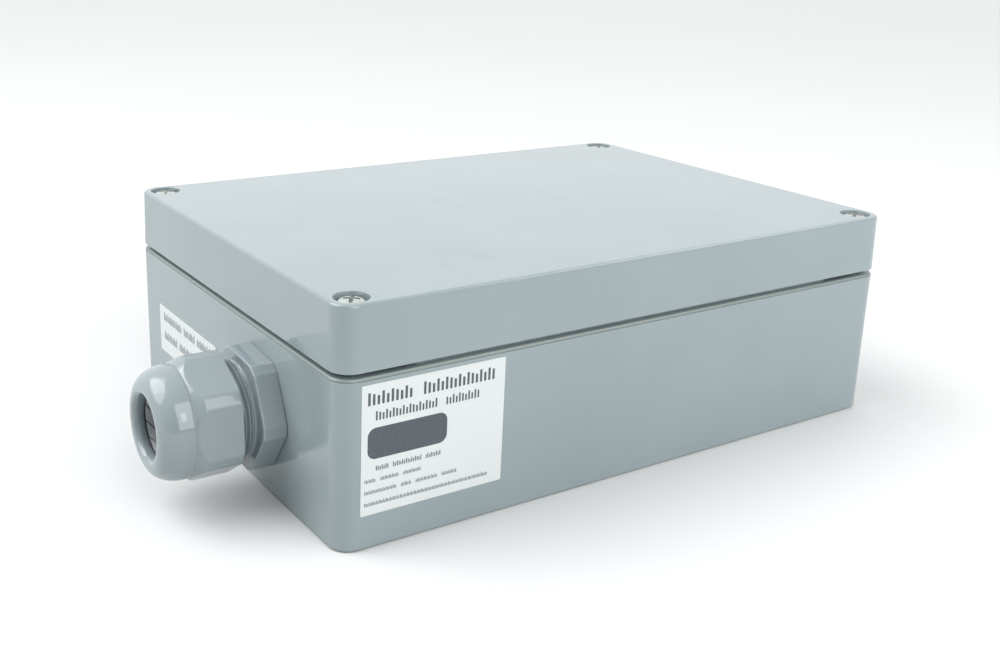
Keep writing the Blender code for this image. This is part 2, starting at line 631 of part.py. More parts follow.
def make_tray():
    """The splice tray: a pan with two round fibre guides, retaining tabs and fibre entries."""
    centre = (TRAY_X, 0, 0)
    tray = prism("splice_tray", rectangle(TRAY_LENGTH, TRAY_WIDTH, TRAY_CORNER, 5), TRAY_Z, TRAY_TOP, TRAY_GREY,
                 centre)
    pan = rectangle(TRAY_LENGTH - 2 * TRAY_WALL, TRAY_WIDTH - 2 * TRAY_WALL, TRAY_CORNER - TRAY_WALL, 5)
    cut(tray, prism("tray_pan", pan, TRAY_Z + TRAY_FLOOR, TRAY_TOP + TRAY_DEPTH, place=centre))
    for name, side in SIDES:
        guide_x = TRAY_X + side * GUIDE_REACH
        top = TRAY_TOP - GUIDE_BELOW_LID
        foot = TRAY_Z + TRAY_FLOOR / 2
        guide = turned("tray_guide_" + name, [(GUIDE_RADIUS - GUIDE_WALL, top), (GUIDE_RADIUS, top),
                                              (GUIDE_RADIUS, foot), (GUIDE_RADIUS - GUIDE_WALL, foot)],
                       place=(guide_x, 0, 0), sides=24)
        cut(guide, block("tray_guide_gap_" + name, (0.030, 4 * GUIDE_RADIUS, 4 * TRAY_DEPTH),
                         (guide_x - side * 0.023, 0, TRAY_Z + TRAY_DEPTH)))
        join(tray, guide)
        for row in (-1, 1):
            join(tray, block("tray_tab_%s_%d" % (name, row), TAB_SIZE,
                             (guide_x, row * TAB_Y, TRAY_TOP - TAB_BELOW_LID)))
            cut(tray, block("tray_entry_%s_%d" % (name, row), ENTRY_SIZE,
                            (TRAY_X + side * TRAY_LENGTH / 2, row * ENTRY_Y, TRAY_TOP - 0.0015)))
        cut(tray, cylinder("tray_stud_hole_" + name, STUD_RADIUS + SCREW_PLAY, 0.0, BOX_HEIGHT,
                           place=(TRAY_X + side * STUD_REACH, 0, 0)))


def make_tray_lid():
    """The clear sheet over the tray, held by the same two nuts."""
    lid = prism("splice_tray_lid", rectangle(TRAY_LENGTH, TRAY_WIDTH, TRAY_CORNER, 5), LID_Z,
                LID_Z + TRAY_LID_THICKNESS, CLEAR, (TRAY_X, 0, 0))
    for name, side in SIDES:
        cut(lid, cylinder("lid_stud_hole_" + name, STUD_RADIUS + SCREW_PLAY, 0.0, BOX_HEIGHT,
                          place=(TRAY_X + side * STUD_REACH, 0, 0)))


def make_splice_holder(name, side):
    """A rubber comb that grips splice sleeves side by side."""
    low = TRAY_Z + TRAY_FLOOR + GAP
    length, width, height = HOLDER_SIZE
    middle_y = side * HOLDER_Y
    holder = block("splice_holder_" + name, HOLDER_SIZE, (TRAY_X, middle_y, low + height / 2), HOLDER_RUBBER)
    for index in range(HOLDER_SLOTS):
        slot_y = middle_y + (index - (HOLDER_SLOTS - 1) / 2) * HOLDER_SLOT_SPACING
        cut(holder, block("holder_slot_%s_%d" % (name, index), (2 * length, HOLDER_SLOT_WIDTH, 2 * height),
                          (TRAY_X, slot_y, low + HOLDER_SLOT_FLOOR + height)))


def make_tray_fixing(name, side):
    """One stud with its washer and thumb nut."""
    place = (TRAY_X + side * STUD_REACH, 0, 0)
    foot = PLATE_TOP + GAP
    hole = STUD_RADIUS + GAP
    nut_top = TRAY_NUT_Z + TRAY_NUT_HEIGHT
    stud = prism("tray_stud_" + name, nut_outline(0.0070, 0.0078, 0.0), foot, foot + TRAY_LIFT, ZINC, place)
    join(stud, cylinder("stud_thread_" + name, STUD_RADIUS, foot + TRAY_LIFT / 2, nut_top + STUD_END,
                        place=place))
    make_ring("tray_washer_" + name, TRAY_WASHER_RADIUS, hole, WASHER_Z, WASHER_Z + TRAY_WASHER_THICKNESS, ZINC,
              place)
    boss_top, boss_foot, boss_height = TRAY_NUT_BOSS
    profile = [(hole, nut_top), (boss_top, nut_top), (boss_foot, nut_top - boss_height),
               (TRAY_NUT_RADIUS, nut_top - boss_height), (TRAY_NUT_RADIUS, TRAY_NUT_Z), (hole, TRAY_NUT_Z)]
    nut = turned("tray_nut_" + name, profile, NYLON_WHITE, place, sides=18)
    reach = TRAY_NUT_RADIUS + 0.4 * TRAY_NUT_GRIP_RADIUS
    for index in range(TRAY_NUT_GRIPS):
        angle = math.radians(360 / TRAY_NUT_GRIPS * index + 10)
        cut(nut, cylinder("nut_grip_%s_%d" % (name, index), TRAY_NUT_GRIP_RADIUS, TRAY_NUT_Z - 0.002,
                          nut_top + 0.002, place=(place[0] + reach * math.cos(angle), reach * math.sin(angle), 0),
                          sides=8))


def make_cable_clamp():
    """The bracket behind the gland that holds the cable's strength member, with its clamp bar."""
    foot = PLATE_TOP + GAP
    back, front = CLAMP_FOOT
    web_back, web_front = CLAMP_WEB
    shelf_foot = CLAMP_SHELF_Z - CLAMP_SHEET
    profile = [(back, foot), (front, foot), (front, foot + CLAMP_SHEET), (web_front, foot + CLAMP_SHEET),
               (web_front, shelf_foot), (CLAMP_SHELF_END, shelf_foot), (CLAMP_SHELF_END, CLAMP_SHELF_Z),
               (web_back, CLAMP_SHELF_Z), (web_back, foot + CLAMP_SHEET), (back, foot + CLAMP_SHEET)]
    bracket = prism("clamp_bracket", profile, -CLAMP_WIDTH / 2, CLAMP_WIDTH / 2, ZINC,
                    (CLAMP_X, GLAND_Y, 0), (math.pi / 2, 0, 0))
    bar_depth, bar_height = CLAMP_BAR_SIZE
    bar_z = CLAMP_SHELF_Z + GAP
    bar_x = CLAMP_X + CLAMP_BAR_SHIFT
    bar = prism("clamp_bar", rectangle(bar_depth, CLAMP_WIDTH, 0.2 * bar_depth, 3), bar_z, bar_z + bar_height,
                ZINC, (bar_x, GLAND_Y, 0))
    hole = CLAMP_SCREW_RADIUS + SCREW_PLAY
    head_radius, head_height = CLAMP_SCREW_HEAD
    for name, side in (("front", -1), ("rear", 1)):
        across = GLAND_Y + side * CLAMP_SCREW_SPREAD
        place = (bar_x, across, 0)
        cut(bracket, cylinder("clamp_hole_" + name, hole, shelf_foot - 0.002, BOX_HEIGHT, place=place))
        cut(bar, cylinder("bar_hole_" + name, hole, 0.0, BOX_HEIGHT, place=place))
        make_screw("clamp_screw_" + name, place, CLAMP_SCREW_RADIUS, head_radius,
                   bar_z + bar_height + GAP + head_height, head_height, shelf_foot - 0.004, ZINC,
                   0.45 * head_height)
        foot_place = (CLAMP_X + BRACKET_SCREW_SHIFT, across, 0)
        cut(bracket, cylinder("foot_hole_" + name, hole, 0.0, foot + 2 * CLAMP_SHEET, place=foot_place))
        cut(bpy.data.objects["mounting_plate"],
            cylinder("plate_clamp_hole_" + name, hole, 0.0, TRAY_Z, place=foot_place))
        make_screw("bracket_screw_" + name, foot_place, CLAMP_SCREW_RADIUS, head_radius,
                   foot + CLAMP_SHEET + GAP + head_height, head_height, PLATE_Z - 0.0020, ZINC,
                   0.45 * head_height)


def make_fibre_clip(name, centre_y):
    """A nylon saddle on the plate that keeps the fibre loop in place."""
    foot = PLATE_TOP + GAP
    pad_length, pad_width, pad_height = CLIP_PAD
    place = (CLIP_X, centre_y, foot + CLIP_RISE)
    clip = block("fibre_clip_" + name, CLIP_PAD, (CLIP_X, centre_y, foot + pad_height / 2), NYLON_WHITE)
    half = CLIP_WIDTH / 2
    arch = turned("clip_arch_" + name, [(CLIP_BORE, half), (CLIP_RADIUS, half), (CLIP_RADIUS, -half),
                                        (CLIP_BORE, -half)], place=place, turn=(0, math.pi / 2, 0), sides=24)
    trim = 4 * CLIP_RADIUS
    cut(arch, block("clip_trim_" + name, (trim, trim, trim), (CLIP_X, centre_y, foot + pad_height / 2 - trim / 2)))
    join(clip, arch)


# ---------------------------------------------------------------- labels


def make_labels():
    """Two blank adhesive labels: one on the long front face, one beside the gland."""
    width, height = FRONT_LABEL_SIZE
    x, z = FRONT_LABEL_CENTRE
    prism("front_label", rectangle(width, height, 0.0004, 2), GAP, GAP + LABEL_THICKNESS, LABEL_WHITE,
          (x, -BOX_WIDTH / 2, z), (math.pi / 2, 0, 0))
    width, height = END_LABEL_SIZE
    y, z = END_LABEL_CENTRE
    prism("end_label", rectangle(height, width, 0.0004, 2), GAP, GAP + LABEL_THICKNESS, LABEL_WHITE,
          (-BOX_LENGTH / 2, y, z), FLAT_OUT)


# ---------------------------------------------------------------- the whole box

make_base()
make_cover()
make_cover_gasket()
for corner, x_side, y_side in CORNERS:
    axis = (x_side * SCREW_X, y_side * SCREW_Y, 0)
    make_insert(corner, axis)
    make_screw("cover_screw_" + corner, axis, COVER_SCREW_RADIUS, COVER_SCREW_HEAD_RADIUS,
               COVER_SCREW_HEAD_TOP_Z, COVER_SCREW_HEAD_TOP_Z - POCKET_FLOOR_Z - GAP, COVER_SCREW_TIP_Z,
               STAINLESS, COVER_SCREW_RECESS)
    make_ring("screw_retainer_" + corner, RETAINER_RADIUS, COVER_SCREW_RADIUS + GAP, RETAINER_FOOT_Z,
              RETAINER_TOP_Z, NYLON_WHITE, axis)
make_gland()
make_plate()
make_tray()
make_tray_lid()
for row, row_side in (("front", -1), ("rear", 1)):
    make_splice_holder(row, row_side)
for end, end_side in SIDES:
    make_tray_fixing(end, end_side)
make_cable_clamp()
make_fibre_clip("front", CLIP_FRONT_Y)
make_fibre_clip("rear", CLIP_REAR_Y)
make_labels()
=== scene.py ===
"""Looks for the fibre splice box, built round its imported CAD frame.

Metres, +Z up, in the CAD's frame. Every visible piece is modelled here at a finer grain than its
CAD node, stands for that node and rides on the node's body.
"""

import json
import math

import bmesh
import bpy
from mathutils import Matrix, Vector


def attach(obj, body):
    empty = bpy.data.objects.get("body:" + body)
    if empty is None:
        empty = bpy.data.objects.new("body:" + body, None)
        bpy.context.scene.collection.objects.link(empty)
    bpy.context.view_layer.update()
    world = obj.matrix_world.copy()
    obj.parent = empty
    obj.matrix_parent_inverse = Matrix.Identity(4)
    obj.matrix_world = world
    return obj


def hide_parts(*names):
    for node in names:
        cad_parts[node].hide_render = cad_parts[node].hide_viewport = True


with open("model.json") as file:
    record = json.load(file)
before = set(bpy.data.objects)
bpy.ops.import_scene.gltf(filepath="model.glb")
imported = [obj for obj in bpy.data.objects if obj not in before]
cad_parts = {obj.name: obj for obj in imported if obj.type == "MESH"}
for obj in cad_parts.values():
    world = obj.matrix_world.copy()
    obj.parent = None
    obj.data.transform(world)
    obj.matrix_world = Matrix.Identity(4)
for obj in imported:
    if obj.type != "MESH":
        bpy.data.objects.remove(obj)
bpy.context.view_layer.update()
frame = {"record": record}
BODY_OF = {node: body for body, nodes in frame["record"]["behaviour"]["bodies"].items() for node in nodes}
SLOT_OF = {part["node"]: part["material_slot"] for part in frame["record"]["subparts"]}

# -------- dimensions, shared by the pieces

BOX_LENGTH = 0.254
BOX_WIDTH = 0.180
BOX_HEIGHT = 0.084
BOX_CORNER = 0.0076
FLOOR = 0.0040
RIM_Z = 0.0602
RIM_STRIP = 0.0014
RIM_BAND = 0.0011
BASE_DRAFT = 0.0004
FOOT_ROUND = 0.0010
COVER_Z = 0.0614
CEILING_Z = 0.0805
COVER_ROUND = 0.0012
COVER_DRAFT = 0.00035
SKIRT_INSET = 0.0025
TONGUE_INSET = 0.0029
WALL_INSET = 0.0048
RIB_OUTER_INSET = 0.0052
RIB_INNER_INSET = 0.0072
TONGUE_TOP_Z = 0.0665
GROOVE_TOP_Z = 0.0700
COLUMN_X = 0.0970
COLUMN_Y = 0.0725
SEAL_CORNER = 0.0035
SCREW_X = 0.1181
SCREW_Y = 0.0815
WALL_HOLE_X = 0.1060
WALL_HOLE_SEAT_Z = 0.0570
INSERT_FOOT_Z = 0.0445
POCKET_RADIUS = 0.0059
POCKET_FLOOR_Z = 0.0802
GLAND = (-BOX_LENGTH / 2, -0.0315, 0.0315)
OUTWARDS = (0.0, -math.pi / 2, 0.0)
GLAND_FLATS = 0.0400
GLAND_CORNERS = 0.0438
FLANGE_OUT = 0.0085
FLANGE_TURN = math.radians(24.7)
NUT_TURN = math.radians(3.6)
NUT_BACK = 0.0145
NUT_TIP = 0.0423
NUT_NECK = 0.0308
DOME_RADIUS = 0.0198
DOME_START = 0.0318
LIP_RADIUS = 0.0128
MOUTH = 0.0109
CLAW_INNER = 0.0133
CLAW_TIP_INNER = 0.0113
CLAW_FRONT = 0.0376
CLAW_SLITS = 12
CLAW_SLIT_BACK = 0.0265
GAP = 0.0003
PLATE_Z = 0.0093
PLATE_TOP = 0.0108
PLATE_LENGTH = 0.208
PLATE_WIDTH = 0.136
PLATE_SCREW_X = 0.095
PLATE_SCREW_Y = 0.058
TRAY_X = 0.0270
TRAY_LENGTH = 0.150
TRAY_WIDTH = 0.112
TRAY_Z = 0.0164
TRAY_TOP = 0.0284
TRAY_WALL = 0.0018
TRAY_FLOOR = TRAY_Z + 0.0016
GUIDE_X = 0.040
ENTRY_Y = 0.036
HOLDER_Y = 0.0295
HOLDER_SLOTS = 6
STUD_REACH = 0.0670
STUD_HOLE = 0.0024
CLAMP_X = -0.0830
CLAMP_WIDTH = 0.034
CLAMP_SHELF_Z = 0.0270
CLAMP_SCREW_Y = 0.0115
CLAMP_HOLE = 0.0019
BRACKET_SCREW_OUT = 0.0065
CUT_TOP = 0.05
CLIP_X = -0.078
CLIPS = (("front", 0.0120), ("rear", 0.0440))
CORNERS = (("front_left", -1, -1), ("front_right", 1, -1), ("rear_left", -1, 1), ("rear_right", 1, 1))
SIDES = (("left", -1), ("right", 1))
ROWS = (("front", -1), ("rear", 1))
TURN = 2 * math.pi

# -------- shapes


def spread(count):
    """Angles at even steps round a circle."""
    return [TURN * index / count for index in range(count)]


def shell(name, rings, place=(0, 0, 0), turn=(0, 0, 0), loop=False):
    """A closed solid through a row of rings of equally many points, capped, or joined end to end."""
    solid = bmesh.new()
    rows = [[solid.verts.new(point) for point in ring] for ring in rings]
    pairs = list(zip(rows, rows[1:]))
    if loop:
        pairs.append((rows[-1], rows[0]))
    else:
        solid.faces.new(rows[0])
        solid.faces.new(rows[-1])
    for low, high in pairs:
        for index in range(len(low)):
            after = (index + 1) % len(low)
            solid.faces.new((low[index], low[after], high[after], high[index]))
    bmesh.ops.recalc_face_normals(solid, faces=solid.faces)
    mesh = bpy.data.meshes.new(name)
    solid.to_mesh(mesh)
    solid.free()
    made = bpy.data.objects.new(name, mesh)
    bpy.context.scene.collection.objects.link(made)
    made.location = place
    made.rotation_euler = turn
    return made


def spun(name, stations, place=(0, 0, 0), turn=(0, 0, 0), sides=64, loop=True):
    """A solid through rings about its own Z. A station is (radius, height), and its radius may be a
    function of the angle and the height."""
    rings = []
    for radius, height in stations:
        ring = []
        for angle in spread(sides):
            reach = radius(angle, height) if callable(radius) else radius
            ring.append((reach * math.cos(angle), reach * math.sin(angle), height))
        rings.append(ring)
    return shell(name, rings, place, turn, loop)


def arc(centre, radius, start, end, steps, squeeze=1.0):
    """Stations along an arc in the (radius, height) plane, with angles in degrees from outwards."""
    points = []
    for step in range(steps + 1):
        angle = math.radians(start + (end - start) * step / steps)
        points.append((centre[0] + radius * math.cos(angle), centre[1] + radius * squeeze * math.sin(angle)))
    return points


def rounded(corners, radius, steps=8):
    """The closed outline through the corners, each turned into an arc."""
    points = []
    for index, corner in enumerate(corners):
        here = Vector(corner)
        back = (Vector(corners[index - 1]) - here).normalized()
        ahead = (Vector(corners[(index + 1) % len(corners)]) - here).normalized()
        half = back.angle(ahead) / 2
        centre = here + (back + ahead).normalized() * (radius / math.sin(half))
        start = here + back * (radius / math.tan(half)) - centre
        end = here + ahead * (radius / math.tan(half)) - centre
        swing = start.angle_signed(end)
        for step in range(steps + 1):
            angle = -swing * step / steps
            points.append(centre + Vector((start.x * math.cos(angle) - start.y * math.sin(angle),
                                           start.x * math.sin(angle) + start.y * math.cos(angle))))
    return points


def rectangle(length, width, radius, steps=8):
    """A rectangle with round corners, centred."""
    a = length / 2
    b = width / 2
    return rounded([(-a, -b), (a, -b), (a, b), (-a, b)], radius, steps)


def seal_line(inset):
    """The box's outline moved inwards, passing the four screw columns on their inner side."""
    a = BOX_LENGTH / 2 - inset
    b = BOX_WIDTH / 2 - inset
    x = COLUMN_X - (inset - WALL_INSET)
    y = COLUMN_Y - (inset - WALL_INSET)
    return rounded([(-x, -b), (x, -b), (x, -y), (a, -y), (a, y), (x, y),
                    (x, b), (-x, b), (-x, y), (-a, y), (-a, -y), (-x, -y)], SEAL_CORNER, 6)


def box_line(inset):
    """The box's outer outline moved inwards."""
    return rectangle(BOX_LENGTH - 2 * inset, BOX_WIDTH - 2 * inset, BOX_CORNER - inset, 12)


def lofted(name, outline, stations, place=(0, 0, 0), turn=(0, 0, 0)):
    """A solid through outline(inset) at each (inset, height) station."""
    rings = [[(x, y, height) for x, y in outline(inset)] for inset, height in stations]
    return shell(name, rings, place, turn)


def slab(name, outline, low, high, place=(0, 0, 0), turn=(0, 0, 0)):
    """A flat outline made as thick as low to high."""
    return shell(name, [[(x, y, low) for x, y in outline], [(x, y, high) for x, y in outline]], place, turn)


def block(name, size, centre, turn=(0, 0, 0)):
    """A box, used to cut with or to build on."""
    x, y, z = (side / 2 for side in size)
    return slab(name, [(-x, -y), (x, -y), (x, y), (-x, y)], -z, z, centre, turn)


def rod(name, radius, low, high, place=(0, 0, 0), turn=(0, 0, 0), sides=40):
    """A round bar."""
    return spun(name, [(radius, low), (radius, high)], place, turn, sides, loop=False)


def settle(made):
    """Turns an object's modifiers into its mesh."""
    graph = bpy.context.evaluated_depsgraph_get()
    mesh = bpy.data.meshes.new_from_object(made.evaluated_get(graph))
    made.modifiers.clear()
    made.data = mesh


def merge(tools):
    """Several solids that keep clear of each other, as one object."""
    bpy.context.view_layer.update()
    solid = bmesh.new()
    for tool in tools:
        mesh = tool.data.copy()
        mesh.transform(tool.matrix_world)
        solid.from_mesh(mesh)
        bpy.data.meshes.remove(mesh)
        bpy.data.objects.remove(tool)
    mesh = bpy.data.meshes.new("merged")
    solid.to_mesh(mesh)
    solid.free()
    made = bpy.data.objects.new("merged", mesh)
    bpy.context.scene.collection.objects.link(made)
    return made


def carve(body, tools, operation="DIFFERENCE"):
    """Cuts the tools out of the body, or joins them to it, and removes them."""
    tool = merge(tools)
    step = body.modifiers.new("carve", "BOOLEAN")
    step.operation = operation
    step.object = tool
    step.solver = "EXACT"
    settle(body)
    bpy.data.objects.remove(tool)


def smooth_least(first, second, reach):
    """The lesser of two numbers, with the change between them rounded over the reach."""
    near = max(reach - abs(first - second), 0.0) / reach
    return min(first, second) - near * near * reach / 4


def hexagon(flats, corners, turn, reach=0.0006):
    """Radius by angle of a hexagon with its corners cut flat and its edges softened."""

    def radius(angle, height):
        swing = (angle - turn + math.pi / 6) % (math.pi / 3) - math.pi / 6
        face = corners / 2 / math.cos(swing)
        flat = flats / 2 / math.cos(math.pi / 6 - abs(swing))
        return smooth_least(face, flat, reach)

    return radius


def thread(root, crest, pitch, start, end):
    """Radius by angle and height of a right-hand thread that fades in and out at its two ends."""

    def radius(angle, height):
        cycle = (height / pitch - angle / TURN) % 1.0
        tooth = 0.5 - 0.5 * math.cos(TURN * cycle)
        fade = min(max(min(height - start, end - height) / pitch, 0.0), 1.0)
        return root + (crest - root) * tooth * fade

    return radius


def threaded(root, crest, pitch, start, end, fineness=9):
    """Stations along a thread."""
    count = max(2, round(abs(end - start) / pitch * fineness))
    form = thread(root, crest, pitch, min(start, end), max(start, end))
    return [(form, start + (end - start) * index / count) for index in range(count + 1)]


# -------- materials


def node(tree, kind, inputs=None, **settings):
    """A shader node with its inputs set or linked."""
    made = tree.nodes.new(kind)
    for name, value in settings.items():
        setattr(made, name, value)
    for name, value in (inputs or {}).items():
        if isinstance(value, bpy.types.NodeSocket):
            tree.links.new(value, made.inputs[name])
        else:
            made.inputs[name].default_value = value
    return made


def noise(tree, scale, detail=2.0, stretch=(1, 1, 1), rough=0.5):
    """Noise in the piece's own space."""
    where = node(tree, "ShaderNodeTexCoord").outputs["Object"]
    moved = node(tree, "ShaderNodeMapping", {"Vector": where, "Scale": stretch}).outputs["Vector"]
    inputs = {"Vector": moved, "Scale": scale, "Detail": detail, "Roughness": rough}
    return node(tree, "ShaderNodeTexNoise", inputs).outputs["Fac"]


def shift(tree, value, low, high, start=0.3, end=0.7):
    """A value from start to end mapped to low to high."""
    made = node(tree, "ShaderNodeMapRange", {"Value": value, "From Min": start, "From Max": end,
                                             "To Min": low, "To Max": high})
    return made.outputs["Result"]


def mixed(tree, share, first, second):
    """Two colours mixed by a share from 0 to 1."""
    made = node(tree, "ShaderNodeMix", data_type="RGBA")
    tree.links.new(share, made.inputs[0])
    for socket, colour in ((made.inputs[6], first), (made.inputs[7], second)):
        if isinstance(colour, bpy.types.NodeSocket):
            tree.links.new(colour, socket)
        else:
            socket.default_value = (*colour, 1.0)
    return made.outputs[2]


def maths(tree, operation, first, second, kind="ShaderNodeMath", **settings):
    """One sum on two values, or on two vectors."""
    return node(tree, kind, {0: first, 1: second}, operation=operation, **settings).outputs["Value"]


def bump(tree, height, strength, distance):
    """A normal from a height."""
    inputs = {"Height": height, "Strength": strength, "Distance": distance}
    return node(tree, "ShaderNodeBump", inputs).outputs["Normal"]


def surface(name):
    """An empty Principled material, its tree and its shader."""
    made = bpy.data.materials.new(name)
    made.use_nodes = True
    return made, made.node_tree, made.node_tree.nodes["Principled BSDF"]


def tinted(colour, factor):
    """A colour made darker or lighter."""
    return tuple(min(1.0, channel * factor) for channel in colour)


def moulded(name, colour, low_rough, high_rough, grain=900.0, grain_depth=0.00002, mottle=0.03, smudge=0.0):
    """Moulded plastic: faint cloudiness in the colour, uneven gloss, a fine surface grain and, if asked,
    rubbed marks on the faces that look up."""
    made, tree, shader = surface(name)
    cloud = noise(tree, 22.0, 3.0)
    speck = noise(tree, 1400.0, 1.0)
    clouded = mixed(tree, shift(tree, cloud, 0.0, 1.0), tinted(colour, 1 - mottle),
                    tinted(colour, 1 + mottle))
    final = mixed(tree, shift(tree, speck, 0.0, 0.22, 0.50, 0.85), clouded, tinted(colour, 0.90))
    if smudge:
        rubbed = shift(tree, noise(tree, 26.0, 5.0, (1.0, 0.45, 1.0), 0.62), 0.0, 1.0, 0.58, 0.74)
        way = node(tree, "ShaderNodeTexCoord").outputs["Normal"]
        up = node(tree, "ShaderNodeSeparateXYZ", {"Vector": way}).outputs["Z"]
        rubbed = maths(tree, "MULTIPLY", rubbed, up, use_clamp=True)
        final = mixed(tree, rubbed, final, tinted(colour, 1 - smudge))
    tree.links.new(final, shader.inputs["Base Color"])
    handled = noise(tree, 14.0, 4.0, rough=0.65)
    tree.links.new(shift(tree, handled, low_rough, high_rough), shader.inputs["Roughness"])
    fine = bump(tree, noise(tree, grain, 2.0), 0.35, grain_depth)
    tree.links.new(fine, shader.inputs["Normal"])
    shader.inputs["IOR"].default_value = 1.56
    return made


def rubbery(name, colour, pores=1800.0):
    """Rubber: matte, with dusty patches and fine pores."""
    made, tree, shader = surface(name)
    dust = noise(tree, 60.0, 5.0, rough=0.7)
    final = mixed(tree, shift(tree, dust, 0.0, 1.0, 0.4, 0.75), colour, tinted(colour, 2.2))
    tree.links.new(final, shader.inputs["Base Color"])
    tree.links.new(shift(tree, dust, 0.62, 0.85), shader.inputs["Roughness"])
    tree.links.new(bump(tree, noise(tree, pores, 3.0), 0.5, 0.00006), shader.inputs["Normal"])
    return made


def turned_metal(name, colour, low_rough, high_rough, rings=2600.0, lathe=0.35):
    """Turned metal: fine rings about the piece's own axis, with uneven brightness."""
    made, tree, shader = surface(name)
    where = node(tree, "ShaderNodeTexCoord").outputs["Object"]
    parts = node(tree, "ShaderNodeSeparateXYZ", {"Vector": where})
    flat = node(tree, "ShaderNodeCombineXYZ", {"X": parts.outputs["X"], "Y": parts.outputs["Y"]})
    reach = node(tree, "ShaderNodeVectorMath", {0: flat.outputs["Vector"]}, operation="LENGTH")
    along = maths(tree, "ADD", reach.outputs["Value"], parts.outputs["Z"])
    inputs = {"W": along, "Scale": rings, "Detail": 3.0}
    line = node(tree, "ShaderNodeTexNoise", inputs, noise_dimensions="1D")
    stain = noise(tree, 260.0, 4.0)
    final = mixed(tree, shift(tree, stain, 0.0, 1.0), colour, tinted(colour, 0.90))
    tree.links.new(final, shader.inputs["Base Color"])
    tree.links.new(shift(tree, stain, low_rough, high_rough), shader.inputs["Roughness"])
    tree.links.new(bump(tree, line.outputs["Fac"], lathe, 0.00003), shader.inputs["Normal"])
    shader.inputs["Metallic"].default_value = 1.0
    return made


def plated_sheet(name, colour):
    """Zinc-plated sheet: rolling streaks along X and pale crystal patches."""
    made, tree, shader = surface(name)
    streak = noise(tree, 300.0, 4.0, (0.05, 1.0, 1.0))
    where = node(tree, "ShaderNodeTexCoord").outputs["Object"]
    cells = node(tree, "ShaderNodeTexVoronoi", {"Vector": where, "Scale": 260.0}).outputs["Color"]
    value = node(tree, "ShaderNodeSeparateColor", {"Color": cells}).outputs["Red"]
    patchy = mixed(tree, shift(tree, value, 0.0, 1.0, 0.0, 1.0), tinted(colour, 0.90), tinted(colour, 1.08))
    final = mixed(tree, shift(tree, streak, 0.0, 0.35), patchy, tinted(colour, 0.72))
    tree.links.new(final, shader.inputs["Base Color"])
    tree.links.new(shift(tree, streak, 0.30, 0.48), shader.inputs["Roughness"])
    tree.links.new(bump(tree, streak, 0.25, 0.00003), shader.inputs["Normal"])
    shader.inputs["Metallic"].default_value = 1.0
    return made


def label_stock(name, colour):
    """Coated label paper: a faint fibre in its colour and gloss."""
    made, tree, shader = surface(name)
    fibre = noise(tree, 1600.0, 3.0, (1.0, 0.35, 1.0))
    final = mixed(tree, shift(tree, fibre, 0.0, 1.0), tinted(colour, 0.965), colour)
    tree.links.new(final, shader.inputs["Base Color"])
    tree.links.new(shift(tree, fibre, 0.34, 0.46), shader.inputs["Roughness"])
    tree.links.new(bump(tree, noise(tree, 500.0, 2.0), 0.2, 0.00003), shader.inputs["Normal"])
    return made


def printed_ink(name, colour):
    """Thermal print: dark, with slightly uneven cover."""
    made, tree, shader = surface(name)
    cover = noise(tree, 2600.0, 2.0)
    final = mixed(tree, shift(tree, cover, 0.0, 1.0, 0.45, 0.8), colour, tinted(colour, 2.4))
    tree.links.new(final, shader.inputs["Base Color"])
    shader.inputs["Roughness"].default_value = 0.42
    return made


def clear_sheet(name):
    """Clear polycarbonate with a light haze and hairline scratches."""
    made, tree, shader = surface(name)
    scratch = noise(tree, 700.0, 3.0, (0.04, 1.0, 1.0))
    haze = noise(tree, 30.0, 3.0)
    tree.links.new(shift(tree, haze, 0.02, 0.08), shader.inputs["Roughness"])
    tree.links.new(bump(tree, scratch, 0.12, 0.00002), shader.inputs["Normal"])
    shader.inputs["Base Color"].default_value = (0.93, 0.96, 0.97, 1.0)
    shader.inputs["Transmission Weight"].default_value = 1.0
    shader.inputs["IOR"].default_value = 1.45
    return made


MATERIALS = {
    "enclosure_grey": moulded("enclosure_grey", (0.226, 0.273, 0.286), 0.06, 0.10, smudge=0.10),
    # The rim strip's colour: an olive tint of its own, made darker as painted shade from the cover's
    # overhang.
    "rim_olive_painted_shade": moulded("rim_olive_painted_shade", (0.168, 0.201, 0.192), 0.28, 0.40, grain=1300.0),
    "gland_grey": moulded("gland_grey", (0.222, 0.264, 0.281), 0.06, 0.10, grain=1300.0),
    "claw_grey": moulded("claw_grey", (0.470, 0.500, 0.510), 0.38, 0.50),
    "tray_grey": moulded("tray_grey", (0.56, 0.57, 0.56), 0.34, 0.46, grain=1500.0, grain_depth=0.00005),
    "nylon_white": moulded("nylon_white", (0.78, 0.76, 0.70), 0.36, 0.50),
    "seal_black": rubbery("seal_black", (0.018, 0.018, 0.019)),
    "gasket_dark": rubbery("gasket_dark", (0.045, 0.045, 0.047), 2600.0),
    "holder_rubber": rubbery("holder_rubber", (0.10, 0.11, 0.12)),
    "stainless": turned_metal("stainless", (0.60, 0.625, 0.60), 0.24, 0.32, lathe=0.05),
    "brass": turned_metal("brass", (0.72, 0.53, 0.24), 0.25, 0.40),
    "zinc_sheet": plated_sheet("zinc_sheet", (0.60, 0.62, 0.64)),
    "label_white": label_stock("label_white", (0.565, 0.595, 0.595)),
    "clear_plastic": clear_sheet("clear_plastic"),
}
INK = printed_ink("label_ink", (0.045, 0.055, 0.065))


def stands_for(made, cad_node, sharp=35):
    """Gives a piece its material and shading, and lets it take the place of its CAD node."""
    made.name = cad_node + "_piece"
    made.data.name = made.name
    if not made.data.materials:
        made.data.materials.append(MATERIALS[SLOT_OF[cad_node]])
    made.data.shade_smooth()
    made.data.set_sharp_from_angle(angle=math.radians(sharp))
    even = made.modifiers.new("even_normals", "WEIGHTED_NORMAL")
    even.keep_sharp = True
    even.weight = 100
    settle(made)
    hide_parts(cad_node)
    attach(made, BODY_OF[cad_node])
    return made


# -------- base, cover and their seal


